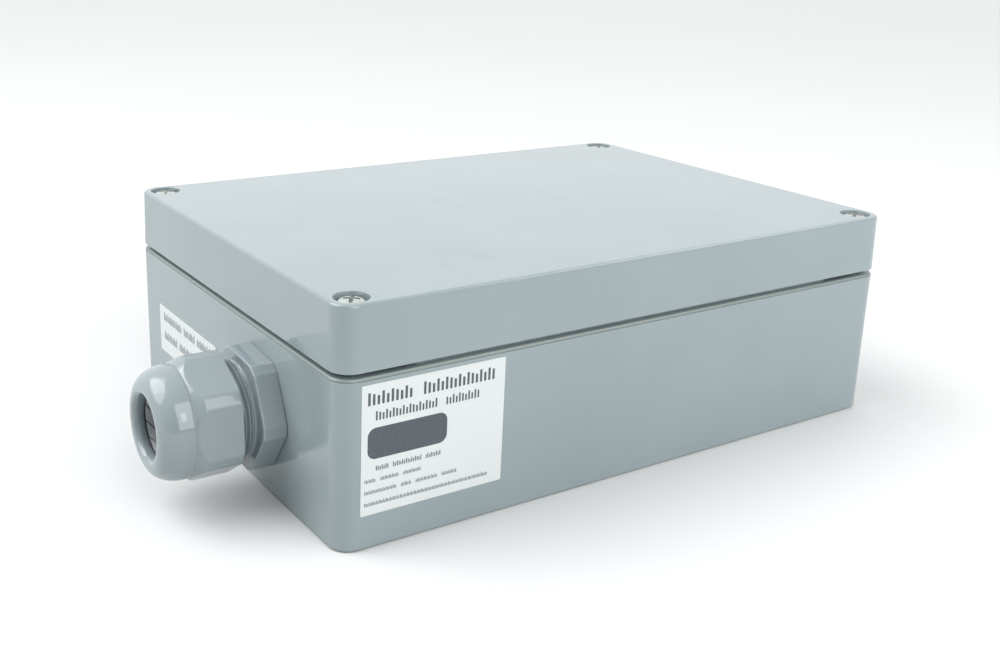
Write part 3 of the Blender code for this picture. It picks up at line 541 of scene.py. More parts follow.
def edge_down(inset, top, radius, steps=5):
    """Stations round an outer top edge, from the side up to the face."""
    return [(inset + radius * (1 - math.cos(math.radians(90 * step / steps))),
             top - radius * (1 - math.sin(math.radians(90 * step / steps)))) for step in range(steps + 1)]


def edge_up(inset, foot, radius, steps=5):
    """Stations round an outer bottom edge, from the face up to the side."""
    return [(edge[0], 2 * foot - edge[1]) for edge in reversed(edge_down(inset, foot, radius, steps))]


def make_base():
    """The box: walls on a floor, a tongue for the seal, corner columns and the plate's posts."""
    foot = RIM_Z - RIM_STRIP
    rim = RIM_Z - 0.00050
    outer = edge_up(BASE_DRAFT, 0.0, FOOT_ROUND)
    outer += [(0.0, foot - 0.00030), (0.00004, foot - 0.00022), (0.00040, foot - 0.00012), (0.00040, foot),
              (0.00008, foot + 0.00008), (0.00010, foot + 0.00020), (0.00045, rim - 0.00020),
              (0.00058, rim - 0.00006), (0.00080, rim)]
    base = lofted("base", box_line, outer)
    tongue = [(TONGUE_INSET, FLOOR / 2), (TONGUE_INSET, TONGUE_TOP_Z - 0.0004)]
    tongue += [(TONGUE_INSET + 0.0001, TONGUE_TOP_Z - 0.0001), (TONGUE_INSET + 0.0004, TONGUE_TOP_Z)]
    carve(base, [lofted("tongue", seal_line, tongue)], "UNION")
    cavity = [(WALL_INSET + 0.0012, FLOOR), (WALL_INSET + 0.0004, FLOOR + 0.0003),
              (WALL_INSET, FLOOR + 0.0012), (WALL_INSET, TONGUE_TOP_Z - 0.0003),
              (WALL_INSET - 0.0003, TONGUE_TOP_Z + 0.0001), (WALL_INSET - 0.0003, BOX_HEIGHT)]
    carve(base, [lofted("cavity", seal_line, cavity)])
    posts = []
    cuts = [rod("gland_hole", 0.0162, -0.02, 0.02, GLAND, OUTWARDS, 96)]
    for _, x, y in CORNERS:
        post = (x * PLATE_SCREW_X, y * PLATE_SCREW_Y, 0)
        posts.append(spun("post", [(0.0062, FLOOR - 0.001), (0.0062, FLOOR), (0.0053, FLOOR + 0.0003),
                                   (0.0048, FLOOR + 0.0013), (0.0048, 0.0088), (0.0046, 0.0090)],
                          post, loop=False))
        cuts.append(rod("pilot", 0.0017, 0.002, BOX_HEIGHT, post))
        insert_hole = [(0.0037, INSERT_FOOT_Z), (0.0037, RIM_Z - 0.0003), (0.0041, RIM_Z + 0.0001),
                       (0.0041, BOX_HEIGHT)]
        cuts.append(spun("insert_hole", insert_hole, (x * SCREW_X, y * SCREW_Y, 0), loop=False))
        seat = WALL_HOLE_SEAT_Z - 0.0003
        wall_hole = [(0.0022, -FLOOR), (0.0022, seat), (0.0044, seat), (0.0045, WALL_HOLE_SEAT_Z),
                     (0.0045, RIM_Z - 0.0003), (0.0049, RIM_Z + 0.0001), (0.0049, BOX_HEIGHT)]
        cuts.append(spun("wall_hole", wall_hole, (x * WALL_HOLE_X, y * SCREW_Y, 0), loop=False))
    carve(base, posts, "UNION")
    carve(base, cuts)
    stands_for(base, "base", 25)
    # The chamfer strip below the cover gets the rim colour: its olive tint is its own, and its darker tone
    # is painted shade under the cover.
    base.data.materials.append(MATERIALS["rim_olive_painted_shade"])
    for face in base.data.polygons:
        x, y, z = face.center
        swing = math.hypot(max(0.0, abs(x) - BOX_LENGTH / 2 + BOX_CORNER),
                           max(0.0, abs(y) - BOX_WIDTH / 2 + BOX_CORNER))
        if foot + 0.00005 < z < rim - 0.00001 and swing > BOX_CORNER - RIM_BAND:
            face.material_index = len(base.data.materials) - 1


def make_cover():
    """The lid: a skirt, a groove for the seal, a rib inside it and four pockets for the screws."""
    below = COVER_Z - 0.005
    outer = edge_up(0.0, COVER_Z, 0.0003, 3) + edge_down(COVER_DRAFT, BOX_HEIGHT, COVER_ROUND, 7)
    cover = lofted("cover", box_line, outer)
    groove = [(SKIRT_INSET - 0.0003, below), (SKIRT_INSET - 0.0003, COVER_Z + 0.0001),
              (SKIRT_INSET, COVER_Z + 0.0005), (SKIRT_INSET, GROOVE_TOP_Z)]
    carve(cover, [lofted("groove", seal_line, groove)])
    rib = [(RIB_OUTER_INSET + 0.0004, COVER_Z + 0.0006), (RIB_OUTER_INSET, COVER_Z + 0.0010),
           (RIB_OUTER_INSET, CEILING_Z - 0.004)]
    carve(cover, [lofted("rib", seal_line, rib)], "UNION")
    hollow = [(RIB_INNER_INSET, below), (RIB_INNER_INSET, CEILING_Z - 0.0012),
              (RIB_INNER_INSET + 0.0004, CEILING_Z - 0.0003), (RIB_INNER_INSET + 0.0012, CEILING_Z)]
    carve(cover, [lofted("hollow", seal_line, hollow)])
    places = [(x * SCREW_X, y * SCREW_Y, 0) for _, x, y in CORNERS]
    pocket = [(0.0029, below), (0.0029, POCKET_FLOOR_Z), (POCKET_RADIUS - 0.0005, POCKET_FLOOR_Z),
              (POCKET_RADIUS - 0.00015, POCKET_FLOOR_Z + 0.00015), (POCKET_RADIUS, POCKET_FLOOR_Z + 0.0005),
              (POCKET_RADIUS, BOX_HEIGHT - 0.00035), (POCKET_RADIUS + 0.0001, BOX_HEIGHT - 0.0001),
              (POCKET_RADIUS + 0.00035, BOX_HEIGHT + 0.00001), (POCKET_RADIUS + 0.00035, BOX_HEIGHT + 0.004)]
    carve(cover, [spun("pocket", pocket, place, sides=72, loop=False) for place in places])
    carve(cover, [rod("space", 0.0052, below, 0.0698, place, sides=56) for place in places])
    stands_for(cover, "cover", 25)


def make_cover_gasket():
    """The seal in the cover's groove, above the tongue."""
    low = TONGUE_TOP_Z + 0.0001
    high = GROOVE_TOP_Z - 0.0001
    gasket = lofted("gasket", seal_line, [(SKIRT_INSET + 0.0004, low), (SKIRT_INSET + 0.0001, low + 0.0004),
                                          (SKIRT_INSET + 0.0001, high)])
    carve(gasket, [slab("inside", seal_line(RIB_OUTER_INSET - 0.0001), COVER_Z, BOX_HEIGHT)])
    stands_for(gasket, "cover_gasket")


def machine_screw(radius, head_radius, head_top, head_height, tip, pitch, thread_top):
    """A pan-head screw with a slotted cross recess and a real thread."""
    seat = head_top - head_height
    crown = 0.55 * head_height
    stations = [(0.02 * head_radius, head_top)]
    for step in range(1, 13):
        angle = math.radians(90 * step / 12)
        stations.append((head_radius * math.sin(angle) ** 0.85,
                         head_top - crown * (1 - math.cos(angle) ** 0.8)))
    stations += [(head_radius, seat + 0.06 * head_height), (0.97 * head_radius, seat), (radius, seat),
                 (radius, thread_top)]
    stations += threaded(0.82 * radius, radius, pitch, thread_top - 0.0001, tip + 0.3 * radius, 6)
    stations += [(0.7 * radius, tip), (0.1 * radius, tip)]
    screw = spun("screw", stations, sides=36, loop=False)
    arm = 0.56 * head_radius
    wide = 0.150 * head_radius
    slot = (0.80 * head_radius, 0.8 * wide, head_top - 0.30 * head_height, 0.97)
    cross = (arm, wide, head_top - 0.62 * head_height, 0.84)
    for reach, half, low, taper in (slot, cross):
        outline = [(-half, -arm), (half, -arm), (half, -half), (reach, -half), (reach, half), (half, half),
                   (half, arm), (-half, arm), (-half, half), (-reach, half), (-reach, -half), (-half, -half)]
        rings = [[(x * share, y * share, height) for x, y in outline]
                 for share, height in ((taper, low), (1.05, head_top + 0.001))]
        carve(screw, [shell("recess", rings)])
    return screw


def copy_to(made, place):
    """The same piece in another place."""
    twin = bpy.data.objects.new(made.name, made.data.copy())
    bpy.context.scene.collection.objects.link(twin)
    twin.location = place
    return twin


def make_corner_hardware():
    """Cover screws with their retainers and inserts, each with its own turn of the recess."""

    def ridge(angle, height):
        return 0.00352 + 0.00010 * math.cos(30 * angle)

    screw = machine_screw(0.0025, 0.00475, 0.0836, 0.0031, 0.0535, 0.0008, 0.0690)
    insert = spun("insert", [(0.00245, 0.0599), (0.00340, 0.0599), (ridge, 0.0597), (ridge, 0.0556),
                             (0.0031, 0.0553), (0.0031, 0.0545), (ridge, 0.0542), (ridge, 0.0478),
                             (0.0033, 0.0475), (0.00245, 0.0475)], sides=120)
    retainer = spun("retainer", [(0.0026, 0.0631), (0.0044, 0.0631), (0.0046, 0.0629), (0.0046, 0.0621),
                                 (0.0044, 0.0619), (0.0026, 0.0619)])
    turns = {"front_left": 56, "front_right": 34, "rear_left": 71, "rear_right": 52}
    for name, x, y in CORNERS:
        place = (x * SCREW_X, y * SCREW_Y, 0)
        one = copy_to(screw, place)
        one.data.transform(Matrix.Rotation(math.radians(turns[name]), 4, "Z"))
        stands_for(one, "cover_screw_" + name)
        stands_for(copy_to(insert, place), "threaded_insert_" + name)
        stands_for(copy_to(retainer, place), "screw_retainer_" + name)
    for spare in (screw, insert, retainer):
        bpy.data.objects.remove(spare)


# -------- cable gland


def hex_ring(form, drop):
    """A form's radius, moved inwards."""
    return lambda angle, height: form(angle, height) - drop


def make_gland_body():
    """Entry thread, hexagon flange and cap thread in one moulding, bored through. Two fine ridges on
    opposite sides of the flange are the mould's parting line."""
    plain = hexagon(GLAND_FLATS, GLAND_CORNERS, FLANGE_TURN, 0.00012)
    seam = math.radians(294)
    ridge_height = 0.00014
    ridge_reach = 0.00030

    def form(angle, height):
        away = (angle - seam + math.pi) % TURN - math.pi
        twin = (angle - seam) % TURN - math.pi
        near = min(abs(away), abs(twin)) * GLAND_FLATS / 2
        return plain(angle, height) + ridge_height * max(0.0, 1 - near / ridge_reach)

    stations = [(0.0120, -0.0140), (0.0150, -0.0140)]
    stations += threaded(0.0152, 0.0160, 0.0015, -0.0136, -0.0004)
    stations += [(0.0160, 0.0014), (0.0184, 0.0014), (0.0184, 0.00002), (hex_ring(form, 0.00006), 0.00002),
                 (form, 0.00008), (form, 0.0040), (form, FLANGE_OUT - 0.0006),
                 (hex_ring(form, 0.00008), FLANGE_OUT - 0.0003),
                 (hex_ring(form, 0.0003), FLANGE_OUT - 0.00008), (hex_ring(form, 0.0006), FLANGE_OUT),
                 (0.0174, FLANGE_OUT - 0.0001), (0.0168, FLANGE_OUT + 0.0003)]
    stations += threaded(0.0166, 0.0182, 0.0016, FLANGE_OUT + 0.0006, 0.0216, 14)
    stations += [(0.0168, 0.0220), (0.0157, 0.0220), (0.0155, 0.0218), (0.0155, 0.0165), (0.0120, 0.0165)]
    stands_for(spun("gland_body", stations, GLAND, OUTWARDS, 360), "gland_body", 40)


def make_dome_nut():
    """The cap: a chamfered hexagon, a thin neck line and a smooth dome that rolls in to the mouth."""
    hexa = hexagon(GLAND_FLATS, GLAND_CORNERS, NUT_TURN, 0.0005)

    def form(angle, height):
        foot = 0.0213 + (height - NUT_BACK) * 1.3
        cone = 0.0196 + (NUT_NECK - height) * 0.68
        return smooth_least(hexa(angle, height), min(foot, cone), 0.00022)

    stations = [(0.0187, NUT_BACK), (0.0195, NUT_BACK), (hex_ring(form, 0.0002), NUT_BACK)]
    stations += [(form, NUT_BACK + 0.0002 * step) for step in range(1, 9)]
    stations += [(form, NUT_BACK + 0.0016 + 0.0009 * step) for step in range(1, 11)]
    rows = 52
    low = NUT_BACK + 0.0106
    stations += [(form, low + (NUT_NECK - low) * step / rows) for step in range(1, rows + 1)]
    stations += [(0.0196, NUT_NECK + 0.0002), (DOME_RADIUS - 0.00008, NUT_NECK + 0.0004),
                 (DOME_RADIUS, NUT_NECK + 0.0007)]
    for step in range(37):
        angle = math.radians(90 * step / 36)
        stations.append((LIP_RADIUS + (DOME_RADIUS - LIP_RADIUS) * math.cos(angle) ** 0.9,
                         DOME_START + (NUT_TIP - DOME_START) * math.sin(angle) ** 0.9))
    lip = LIP_RADIUS - MOUTH
    lip_depth = 0.0022
    stations += arc((LIP_RADIUS, NUT_TIP - lip_depth), lip, 90, 180, 12, lip_depth / lip)[1:]
    stations += [(MOUTH, CLAW_FRONT + 0.0010), (MOUTH + 0.0002, CLAW_FRONT + 0.0006),
                 (0.0158, CLAW_FRONT + 0.0004), (0.0158, 0.0235), (0.0187, 0.0235), (0.0187, 0.0190),
                 (0.0187, 0.0160)]
    stands_for(spun("dome_nut", stations, GLAND, OUTWARDS, 360), "gland_dome_nut", 50)


def make_claw():
    """The clamping collar, slit into slanted fingers."""
    stations = [(CLAW_INNER, 0.0168), (0.0152, 0.0168), (0.0152, 0.0340), (0.0149, 0.0356), (0.0143, 0.0370),
                (0.0139, CLAW_FRONT), (CLAW_TIP_INNER + 0.0004, CLAW_FRONT),
                (CLAW_TIP_INNER + 0.0001, CLAW_FRONT - 0.0002), (CLAW_TIP_INNER, CLAW_FRONT - 0.0008),
                (CLAW_TIP_INNER, 0.0318), (CLAW_INNER, 0.0306)]
    claw = spun("claw", stations, GLAND, OUTWARDS, 144)
    past_front = 0.0390
    degrees_per_mm = 6.5
    blades = []
    for index in range(CLAW_SLITS):
        rings = []
        for step in range(15):
            height = CLAW_SLIT_BACK + (past_front - CLAW_SLIT_BACK) * step / 14
            lean = degrees_per_mm * (CLAW_FRONT - height) * 1000
            angle = math.radians(103.5 + 360 / CLAW_SLITS * index + lean)
            out = Vector((math.cos(angle), math.sin(angle)))
            across = Vector((-out.y, out.x)) * 0.00024
            rings.append([(*(out * reach + across * side), height)
                          for reach, side in ((0.0100, -1), (0.0170, -1), (0.0170, 1), (0.0100, 1))])
        blades.append(shell("blade", rings, GLAND, OUTWARDS))
    carve(claw, blades)
    stands_for(claw, "gland_claw")


def make_gland():
    """The cable gland: body, cap, claw, seals and the nut inside the wall."""
    make_gland_body()
    make_dome_nut()
    make_claw()
    stands_for(spun("seal", [(0.0095, 0.0300), (0.0127, 0.0300), (0.0130, 0.0296), (0.0130, 0.0172),
                             (0.0127, 0.0168), (0.0095, 0.0168)], GLAND, OUTWARDS, 96), "gland_seal")
    stands_for(spun("flange_seal", [(0.0166, 0.0011), (0.0179, 0.0011), (0.0182, 0.0007), (0.0179, 0.0003),
                                    (0.0166, 0.0003)], GLAND, OUTWARDS, 96), "gland_flange_seal")
    form = hexagon(GLAND_FLATS, GLAND_CORNERS, 0.0)
    far = -0.0111
    near = -0.0051
    locknut = [(0.0163, far), (hex_ring(form, 0.0008), far), (hex_ring(form, 0.0002), far + 0.0003),
               (form, far + 0.0009), (form, near - 0.0006), (hex_ring(form, 0.0004), near), (0.0163, near)]
    stands_for(spun("locknut", locknut, GLAND, OUTWARDS, 240), "gland_locknut")


# -------- inside the box


def plate_line(inset):
    """The mounting plate's outline moved inwards."""
    return rectangle(PLATE_LENGTH - 2 * inset, PLATE_WIDTH - 2 * inset, 0.004 - inset)


def make_plate():
    """The mounting plate and its four screws."""
    plate = lofted("plate", plate_line, [(0.0002, PLATE_Z), (0.0, PLATE_Z + 0.0002),
                                         (0.0, PLATE_TOP - 0.0002), (0.0002, PLATE_TOP)])
    corners = {name: (x * PLATE_SCREW_X, y * PLATE_SCREW_Y, 0) for name, x, y in CORNERS}
    above = 0.02
    cuts = [rod("hole", 0.0023, 0.0, above, place) for place in corners.values()]
    cuts += [rod("hole", CLAMP_HOLE, 0.0, above,
                 (CLAMP_X + BRACKET_SCREW_OUT, GLAND[1] + side * CLAMP_SCREW_Y, 0)) for _, side in ROWS]
    carve(plate, cuts)
    stands_for(plate, "mounting_plate")
    screw = machine_screw(0.0014, 0.0035, PLATE_TOP + 0.0025, 0.0022, 0.0042, 0.0007, 0.0100)
    for name, place in corners.items():
        stands_for(copy_to(screw, place), "plate_screw_" + name)
    bpy.data.objects.remove(screw)


def tray_line(inset):
    """The splice tray's outline moved inwards."""
    return rectangle(TRAY_LENGTH - 2 * inset, TRAY_WIDTH - 2 * inset, 0.012 - inset, 12)


def stud_holes():
    """Cutters for the tray's two studs."""
    return [rod("stud_hole", STUD_HOLE, 0.0, CUT_TOP, (TRAY_X + side * STUD_REACH, 0, 0))
            for _, side in SIDES]


def make_tray():
    """The splice tray, with guides for the slack and tabs over it."""
    centre = (TRAY_X, 0, 0)
    outer = edge_up(0.0, TRAY_Z, 0.0008, 4) + [(0.0, TRAY_TOP - 0.0003), (0.0003, TRAY_TOP)]
    tray = lofted("tray", tray_line, outer, centre)
    pan = [(TRAY_WALL + 0.0012, TRAY_FLOOR), (TRAY_WALL + 0.0004, TRAY_FLOOR + 0.0003),
           (TRAY_WALL, TRAY_FLOOR + 0.0012), (TRAY_WALL, TRAY_TOP - 0.0003),
           (TRAY_WALL - 0.0002, TRAY_TOP), (TRAY_WALL - 0.0002, TRAY_TOP + 0.01)]
    carve(tray, [lofted("pan", tray_line, pan, centre)])
    root = TRAY_FLOOR - 0.0008
    top = TRAY_TOP - 0.002
    for _, side in SIDES:
        guide_x = TRAY_X + side * GUIDE_X
        guide = spun("guide", [(0.0225, root), (0.0225, top - 0.0003), (0.0228, top), (0.0237, top),
                               (0.0240, top - 0.0003), (0.0240, root)], (guide_x, 0, 0), sides=96)
        carve(guide, [block("gap", (0.030, 0.100, 0.040), (guide_x - side * 0.023, 0, TRAY_Z + 0.010))])
        carve(tray, [guide], "UNION")
    tabs = []
    cuts = []
    for _, side in SIDES:
        for row in (-1, 1):
            tabs.append(slab("tab", rectangle(0.008, 0.010, 0.0015), -0.0006, 0.0006,
                             (TRAY_X + side * GUIDE_X, row * (TRAY_WIDTH / 2 - 0.0055), TRAY_TOP - 0.0014)))
            cuts.append(block("entry", (0.010, 0.012, 0.008),
                              (TRAY_X + side * TRAY_LENGTH / 2, row * ENTRY_Y, TRAY_TOP - 0.0015)))
    carve(tray, tabs, "UNION")
    carve(tray, cuts + stud_holes())
    stands_for(tray, "splice_tray", 30)


def make_tray_lid():
    """The tray's clear lid."""
    low = TRAY_TOP + GAP
    stations = [(0.0002, low), (0.0, low + 0.0002), (0.0, low + 0.0014), (0.0002, low + 0.0016)]
    lid = lofted("lid", tray_line, stations, (TRAY_X, 0, 0))
    carve(lid, stud_holes())
    stands_for(lid, "splice_tray_lid")


def make_splice_holders():
    """Two combs that hold the splices."""
    for name, side in ROWS:
        foot = TRAY_FLOOR + GAP
        holder = slab("holder", rectangle(0.026, 0.036, 0.0012), foot, foot + 0.0065,
                      (TRAY_X, side * HOLDER_Y, 0))
        slots = []
        for index in range(HOLDER_SLOTS):
            y = side * HOLDER_Y + (index - (HOLDER_SLOTS - 1) / 2) * 0.0055
            slots.append(slab("slot", rectangle(0.0026, 0.0100, 0.0012), -0.02, 0.02,
                              (TRAY_X, y, foot + 0.0070), (math.pi / 2, 0, math.pi / 2)))
        carve(holder, slots)
        stands_for(holder, "splice_holder_" + name)


def make_tray_fixings():
    """Studs with a thread, washers and scalloped thumb nuts."""
    foot = PLATE_TOP + GAP
    hexa = hexagon(0.0070, 0.0078, 0.0, 0.0002)
    low = TRAY_TOP + GAP + 0.0016 + GAP
    nut_low = low + 0.0013
    nut_top = nut_low + 0.0060

    def grip(angle, height):
        scallop = 0.16
        swing = (angle - math.radians(10) + math.pi / 9) % (TURN / 9) - math.pi / 9
        return 0.0065 - 0.0009 * max(0.0, 1 - (swing / scallop) ** 2) ** 0.5

    for name, side in SIDES:
        place = (TRAY_X + side * STUD_REACH, 0, 0)
        stud = [(hex_ring(hexa, 0.0003), foot), (hexa, foot + 0.0003), (hexa, foot + 0.0047),
                (hex_ring(hexa, 0.0003), foot + 0.0050), (0.0020, foot + 0.0050), (0.0020, foot + 0.0072)]
        stud += threaded(0.0017, 0.0020, 0.0007, foot + 0.0073, nut_top + 0.0011)
        stud += [(0.0014, nut_top + 0.0015)]
        stands_for(spun("stud", stud, place, sides=72, loop=False), "tray_stud_" + name)
        washer = [(0.0023, low + 0.0010), (0.0048, low + 0.0010), (0.0050, low + 0.0008),
                  (0.0050, low + 0.0002), (0.0048, low), (0.0023, low)]
        stands_for(spun("washer", washer, place), "tray_washer_" + name)
        nut = [(0.0023, nut_top), (0.0029, nut_top), (0.0032, nut_top - 0.0002), (0.0040, nut_top - 0.0018),
               (hex_ring(grip, 0.0005), nut_top - 0.0020), (hex_ring(grip, 0.0001), nut_top - 0.0021),
               (grip, nut_top - 0.0025), (grip, nut_low + 0.0004), (hex_ring(grip, 0.0004), nut_low),
               (0.0023, nut_low)]
        stands_for(spun("nut", nut, place, sides=180), "tray_nut_" + name)


def make_cable_clamp():
    """The bracket and bar that hold the cable's strength member, with their screws."""
    foot = PLATE_TOP + GAP
    shelf = CLAMP_SHELF_Z
    bend = rounded([(-0.011, foot), (0.011, foot), (0.011, foot + 0.002), (-0.004, foot + 0.002),
                    (-0.004, shelf - 0.002), (0.008, shelf - 0.002), (0.008, shelf), (-0.006, shelf),
                    (-0.006, foot + 0.002), (-0.011, foot + 0.002)], 0.0004, 4)
    bracket = slab("bracket", bend, -CLAMP_WIDTH / 2, CLAMP_WIDTH / 2, (CLAMP_X, GLAND[1], 0),
                   (math.pi / 2, 0, 0))
    bar_x = CLAMP_X + 0.002
    screw_x = CLAMP_X + BRACKET_SCREW_OUT
    bar = lofted("bar", lambda inset: rectangle(0.010 - 2 * inset, CLAMP_WIDTH - 2 * inset, 0.002 - inset),
                 [(0.0003, shelf + 0.0003), (0.0, shelf + 0.0006), (0.0, shelf + 0.0028),
                  (0.0005, shelf + 0.0033)], (bar_x, GLAND[1], 0))
    across = {name: GLAND[1] + side * CLAMP_SCREW_Y for name, side in ROWS}
    carve(bar, [rod("hole", CLAMP_HOLE, 0.0, CUT_TOP, (bar_x, y, 0)) for y in across.values()])
    carve(bracket, [rod("hole", CLAMP_HOLE, shelf - 0.004, CUT_TOP, (bar_x, y, 0)) for y in across.values()])
    carve(bracket, [rod("hole", CLAMP_HOLE, 0.0, foot + 0.004, (screw_x, y, 0)) for y in across.values()])
    stands_for(bracket, "clamp_bracket")
    stands_for(bar, "clamp_bar")
    upper = machine_screw(0.0015, 0.0030, shelf + 0.0056, 0.0020, shelf - 0.006, 0.0007, shelf + 0.003)
    lower = machine_screw(0.0015, 0.0030, foot + 0.0043, 0.0020, PLATE_Z - 0.002, 0.0007, foot + 0.002)
    for name, y in across.items():
        stands_for(copy_to(upper, (bar_x, y, 0)), "clamp_screw_" + name)
        stands_for(copy_to(lower, (screw_x, y, 0)), "bracket_screw_" + name)
    for spare in (upper, lower):
        bpy.data.objects.remove(spare)


def make_fibre_clips():
    """Feet with an arch over each, for the fibres on their way to the tray."""
    foot = PLATE_TOP + GAP
    for name, y in CLIPS:
        clip = slab("clip", rectangle(0.010, 0.022, 0.0015), foot, foot + 0.0016, (CLIP_X, y, 0))
        arch = spun("arch", [(0.0054, 0.0037), (0.0057, 0.0040), (0.0067, 0.0040), (0.0070, 0.0037),
                             (0.0070, -0.0037), (0.0067, -0.0040), (0.0057, -0.0040), (0.0054, -0.0037)],
                    (CLIP_X, y, foot + 0.006), (0, math.pi / 2, 0), 72)
        carve(arch, [block("trim", (0.030, 0.030, 0.010), (CLIP_X, y, foot - 0.0042))])
        carve(clip, [arch], "UNION")
        stands_for(clip, "fibre_clip_" + name, 30)


# -------- labels


def printed_label(cad_node, width, height, marks, to_world):
    """A thin label with its print: marks are outlines in the label's own plane."""
    sheet = 0.00012
    rise = 0.00001
    solid = bmesh.new()
    prisms = [(rectangle(width, height, 0.0005, 4), 0.00004, sheet, 0)]
    prisms += [(mark, sheet - rise, sheet + rise, 1) for mark in marks]
    for outline, low, high, slot in prisms:
        rows = [[solid.verts.new(to_world(x, y, level)) for x, y in outline] for level in (low, high)]
        count = len(outline)
        made = [solid.faces.new(rows[0]), solid.faces.new(rows[1])]
        for index in range(count):
            after = (index + 1) % count
            made.append(solid.faces.new((rows[0][index], rows[0][after], rows[1][after], rows[1][index])))
        for face in made:
            face.material_index = slot
    bmesh.ops.recalc_face_normals(solid, faces=solid.faces)
    mesh = bpy.data.meshes.new(cad_node)
    solid.to_mesh(mesh)
    solid.free()
    mesh.materials.append(MATERIALS["label_white"])
    mesh.materials.append(INK)
    made = bpy.data.objects.new(cad_node, mesh)
    bpy.context.scene.collection.objects.link(made)
    stands_for(made, cad_node)


def bars(left, top, height, lengths, gap):
    """A line of word-long groups of plain upright strokes, which spell nothing, from its left end."""
    shares = (1.0, 0.72, 1.0, 0.72, 0.86)
    marks = []
    for length in lengths:
        count = max(2, round(length / (0.38 * height)))
        pitch = length / count
        for index in range(count):
            tall = height * shares[(index * 3 + len(marks)) % len(shares)]
            middle_x = left + pitch * (index + 0.5)
            outline = rectangle(0.54 * pitch, tall, 0.10 * pitch, 1)
            marks.append([(x + middle_x, y + top - height + tall / 2) for x, y in outline])
        left += length + gap
    return marks


def field(left, top, length, height, radius):
    """A plain round-cornered field."""
    return [[(x + left + length / 2, y + top - height / 2) for x, y in rectangle(length, height, radius, 6)]]


def make_labels():
    """White labels that carry strokes in place of words and a round-cornered field in place of a mark."""
    wall = BOX_WIDTH / 2

    def on_front(x, y, level):
        height = y + 0.0347
        return (x - 0.0914, -(wall - BASE_DRAFT * (1 - height / RIM_Z)) - level, height)

    left = -0.0262
    marks = bars(left + 0.0006, 0.0198, 0.0044, (0.0170, 0.0285), 0.0036)
    marks += bars(left + 0.0036, 0.0132, 0.0032, (0.0235, 0.0135), 0.0030)
    marks += field(left + 0.0010, 0.0076, 0.0300, 0.0108, 0.0030)
    marks += bars(left + 0.0040, -0.0056, 0.0018, (0.0050, 0.0110, 0.0060), 0.0014)
    marks += bars(left, -0.0098, 0.0014, (0.0042, 0.0070, 0.0068), 0.0016)
    marks += bars(left, -0.0138, 0.0014, (0.0120, 0.0040, 0.0085, 0.0060), 0.0016)
    marks += bars(left, -0.0180, 0.0014, (0.0480,), 0.0)
    printed_label("front_label", 0.055, 0.045, marks, on_front)

    def on_end(x, y, level):
        height = y + 0.0294
        return (-(BOX_LENGTH / 2 - BASE_DRAFT * (1 - height / RIM_Z)) - level, 0.0383 - x, height)

    marks = bars(-0.0255, 0.0075, 0.0036, (0.0200, 0.0120, 0.0140), 0.0022)
    marks += bars(-0.0255, -0.0006, 0.0036, (0.0145, 0.0205, 0.0090), 0.0022)
    printed_label("end_label", 0.060, 0.020, marks, on_end)


make_base()
make_cover()
make_cover_gasket()
make_corner_hardware()
make_gland()
make_plate()
make_tray()
make_tray_lid()
make_splice_holders()
make_tray_fixings()
make_cable_clamp()
make_fibre_clips()
make_labels()

# -------- studio

SKY_LEVEL = 0.97
SKY_LEAN = (-0.12, 0.30, 0.10)
DARK_SIDE = (-0.62, -0.75, 0.20)
DARK_DEPTH = 0.80
SUN_WAY = (0.60, -0.34, -0.72)

# softboxes: width and height, place, what they point at, and power
BANK = ((0.9, 1.0), (-0.72, 0.55, 1.00), (-0.14, 0.0, 0.05), 5.0)
FILLS = {
    "window": ((1.15, 1.6), (-0.02, -1.50, 0.90), (-0.15, -0.05, 0.04), 18.0),
    "side": ((0.5, 0.5), (0.50, -0.62, 0.34), (0.10, -0.09, 0.04), 2.3),
}
GLINTS = {
    "pane": ((0.406, 0.565), (-0.111, -0.550, 0.339), (-0.16, -0.035, 0.035), 2.24),
    "bulb": ((0.108, 0.162), (-0.138, -0.545, 0.310), (-0.16, -0.035, 0.035), 0.18),
    "edge": ((0.62, 0.30), (0.58, -0.43, 0.66), (0.0, -0.09, 0.084), 1.8),
}

CAMERA_PLACE = (-0.288922, -0.391853, 0.199522)
CAMERA_AZIMUTH = -32.446
CAMERA_ELEVATION = 15.280
CAMERA_ROLL = 1.402


def make_floor():
    """The pale floor, with an even, barely clouded tone."""
    floor = slab("studio_floor", rectangle(9.0, 9.0, 2.0), -0.02, -0.0001)
    made, tree, shader = surface("studio_floor")
    tone = noise(tree, 3.0, 3.0)
    tree.links.new(mixed(tree, shift(tree, tone, 0.0, 1.0), (0.592, 0.600, 0.600), (0.602, 0.610, 0.610)),
                   shader.inputs["Base Color"])
    shader.inputs["Roughness"].default_value = 0.6
    shader.inputs["Specular IOR Level"].default_value = 0.2
    floor.data.materials.append(made)


def softbox(name, size, place, aim, power):
    """A rectangular light that the camera doesn't see."""
    data = bpy.data.lights.new(name, "AREA")
    data.shape = "RECTANGLE"
    data.size, data.size_y = size
    data.energy = power
    light = bpy.data.objects.new(name, data)
    bpy.context.scene.collection.objects.link(light)
    light.location = place
    light.rotation_euler = (Vector(aim) - Vector(place)).to_track_quat("-Z", "Y").to_euler()
    light.visible_camera = False
    return light


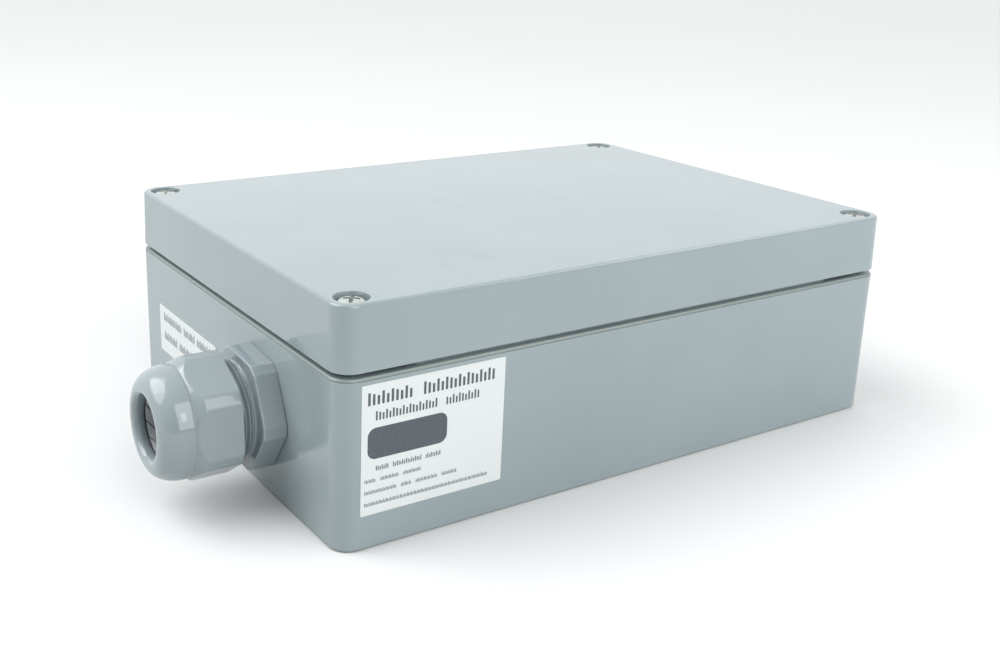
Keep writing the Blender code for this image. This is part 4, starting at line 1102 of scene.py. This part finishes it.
def make_studio():
    """A pale surround, darker towards the near corner, a broad sun and the softboxes."""
    world = bpy.data.worlds.new("studio")
    world.use_nodes = True
    bpy.context.scene.world = world
    tree = world.node_tree
    sky = tree.nodes["Background"]
    sky.inputs["Color"].default_value = (0.985, 1.0, 1.0, 1.0)
    way = node(tree, "ShaderNodeTexCoord").outputs["Generated"]
    lean = maths(tree, "DOT_PRODUCT", way, SKY_LEAN, "ShaderNodeVectorMath")
    level = maths(tree, "ADD", lean, SKY_LEVEL)
    near = maths(tree, "DOT_PRODUCT", way, DARK_SIDE, "ShaderNodeVectorMath")
    near = maths(tree, "POWER", maths(tree, "MAXIMUM", near, 0.0), 3.0)
    level = maths(tree, "SUBTRACT", level, maths(tree, "MULTIPLY", near, DARK_DEPTH))
    tree.links.new(level, sky.inputs["Strength"])
    data = bpy.data.lights.new("key", "SUN")
    data.energy = 1.85
    data.angle = math.radians(54)
    key = bpy.data.objects.new("key", data)
    bpy.context.scene.collection.objects.link(key)
    key.rotation_euler = Vector(SUN_WAY).to_track_quat("-Z", "Y").to_euler()
    softbox("bank", *BANK)
    for name, setting in FILLS.items():
        softbox(name, *setting).visible_glossy = False
    for name, setting in GLINTS.items():
        softbox(name, *setting).visible_diffuse = False
    bpy.context.scene.view_settings.view_transform = "Standard"


def make_camera():
    """The camera: its place, its direction by azimuth, elevation and roll, and its lens."""
    azimuth = math.radians(CAMERA_AZIMUTH)
    elevation = math.radians(CAMERA_ELEVATION)
    roll = math.radians(CAMERA_ROLL)
    back = Vector((math.sin(azimuth) * math.cos(elevation), -math.cos(azimuth) * math.cos(elevation),
                   math.sin(elevation)))
    right = Vector((0, 0, 1)).cross(back).normalized()
    up = back.cross(right)
    right, up = (math.cos(roll) * right + math.sin(roll) * up, math.cos(roll) * up - math.sin(roll) * right)
    data = bpy.data.cameras.new("camera")
    data.sensor_width = 36.0
    data.lens = 43.106
    data.shift_x = 0.075
    data.shift_y = -0.0935
    data.clip_start = 0.01
    camera = bpy.data.objects.new("camera", data)
    bpy.context.scene.collection.objects.link(camera)
    facing = Matrix((right, up, back)).transposed().to_4x4()
    camera.matrix_world = Matrix.Translation(CAMERA_PLACE) @ facing
    bpy.context.scene.camera = camera


make_floor()
make_studio()
make_camera()
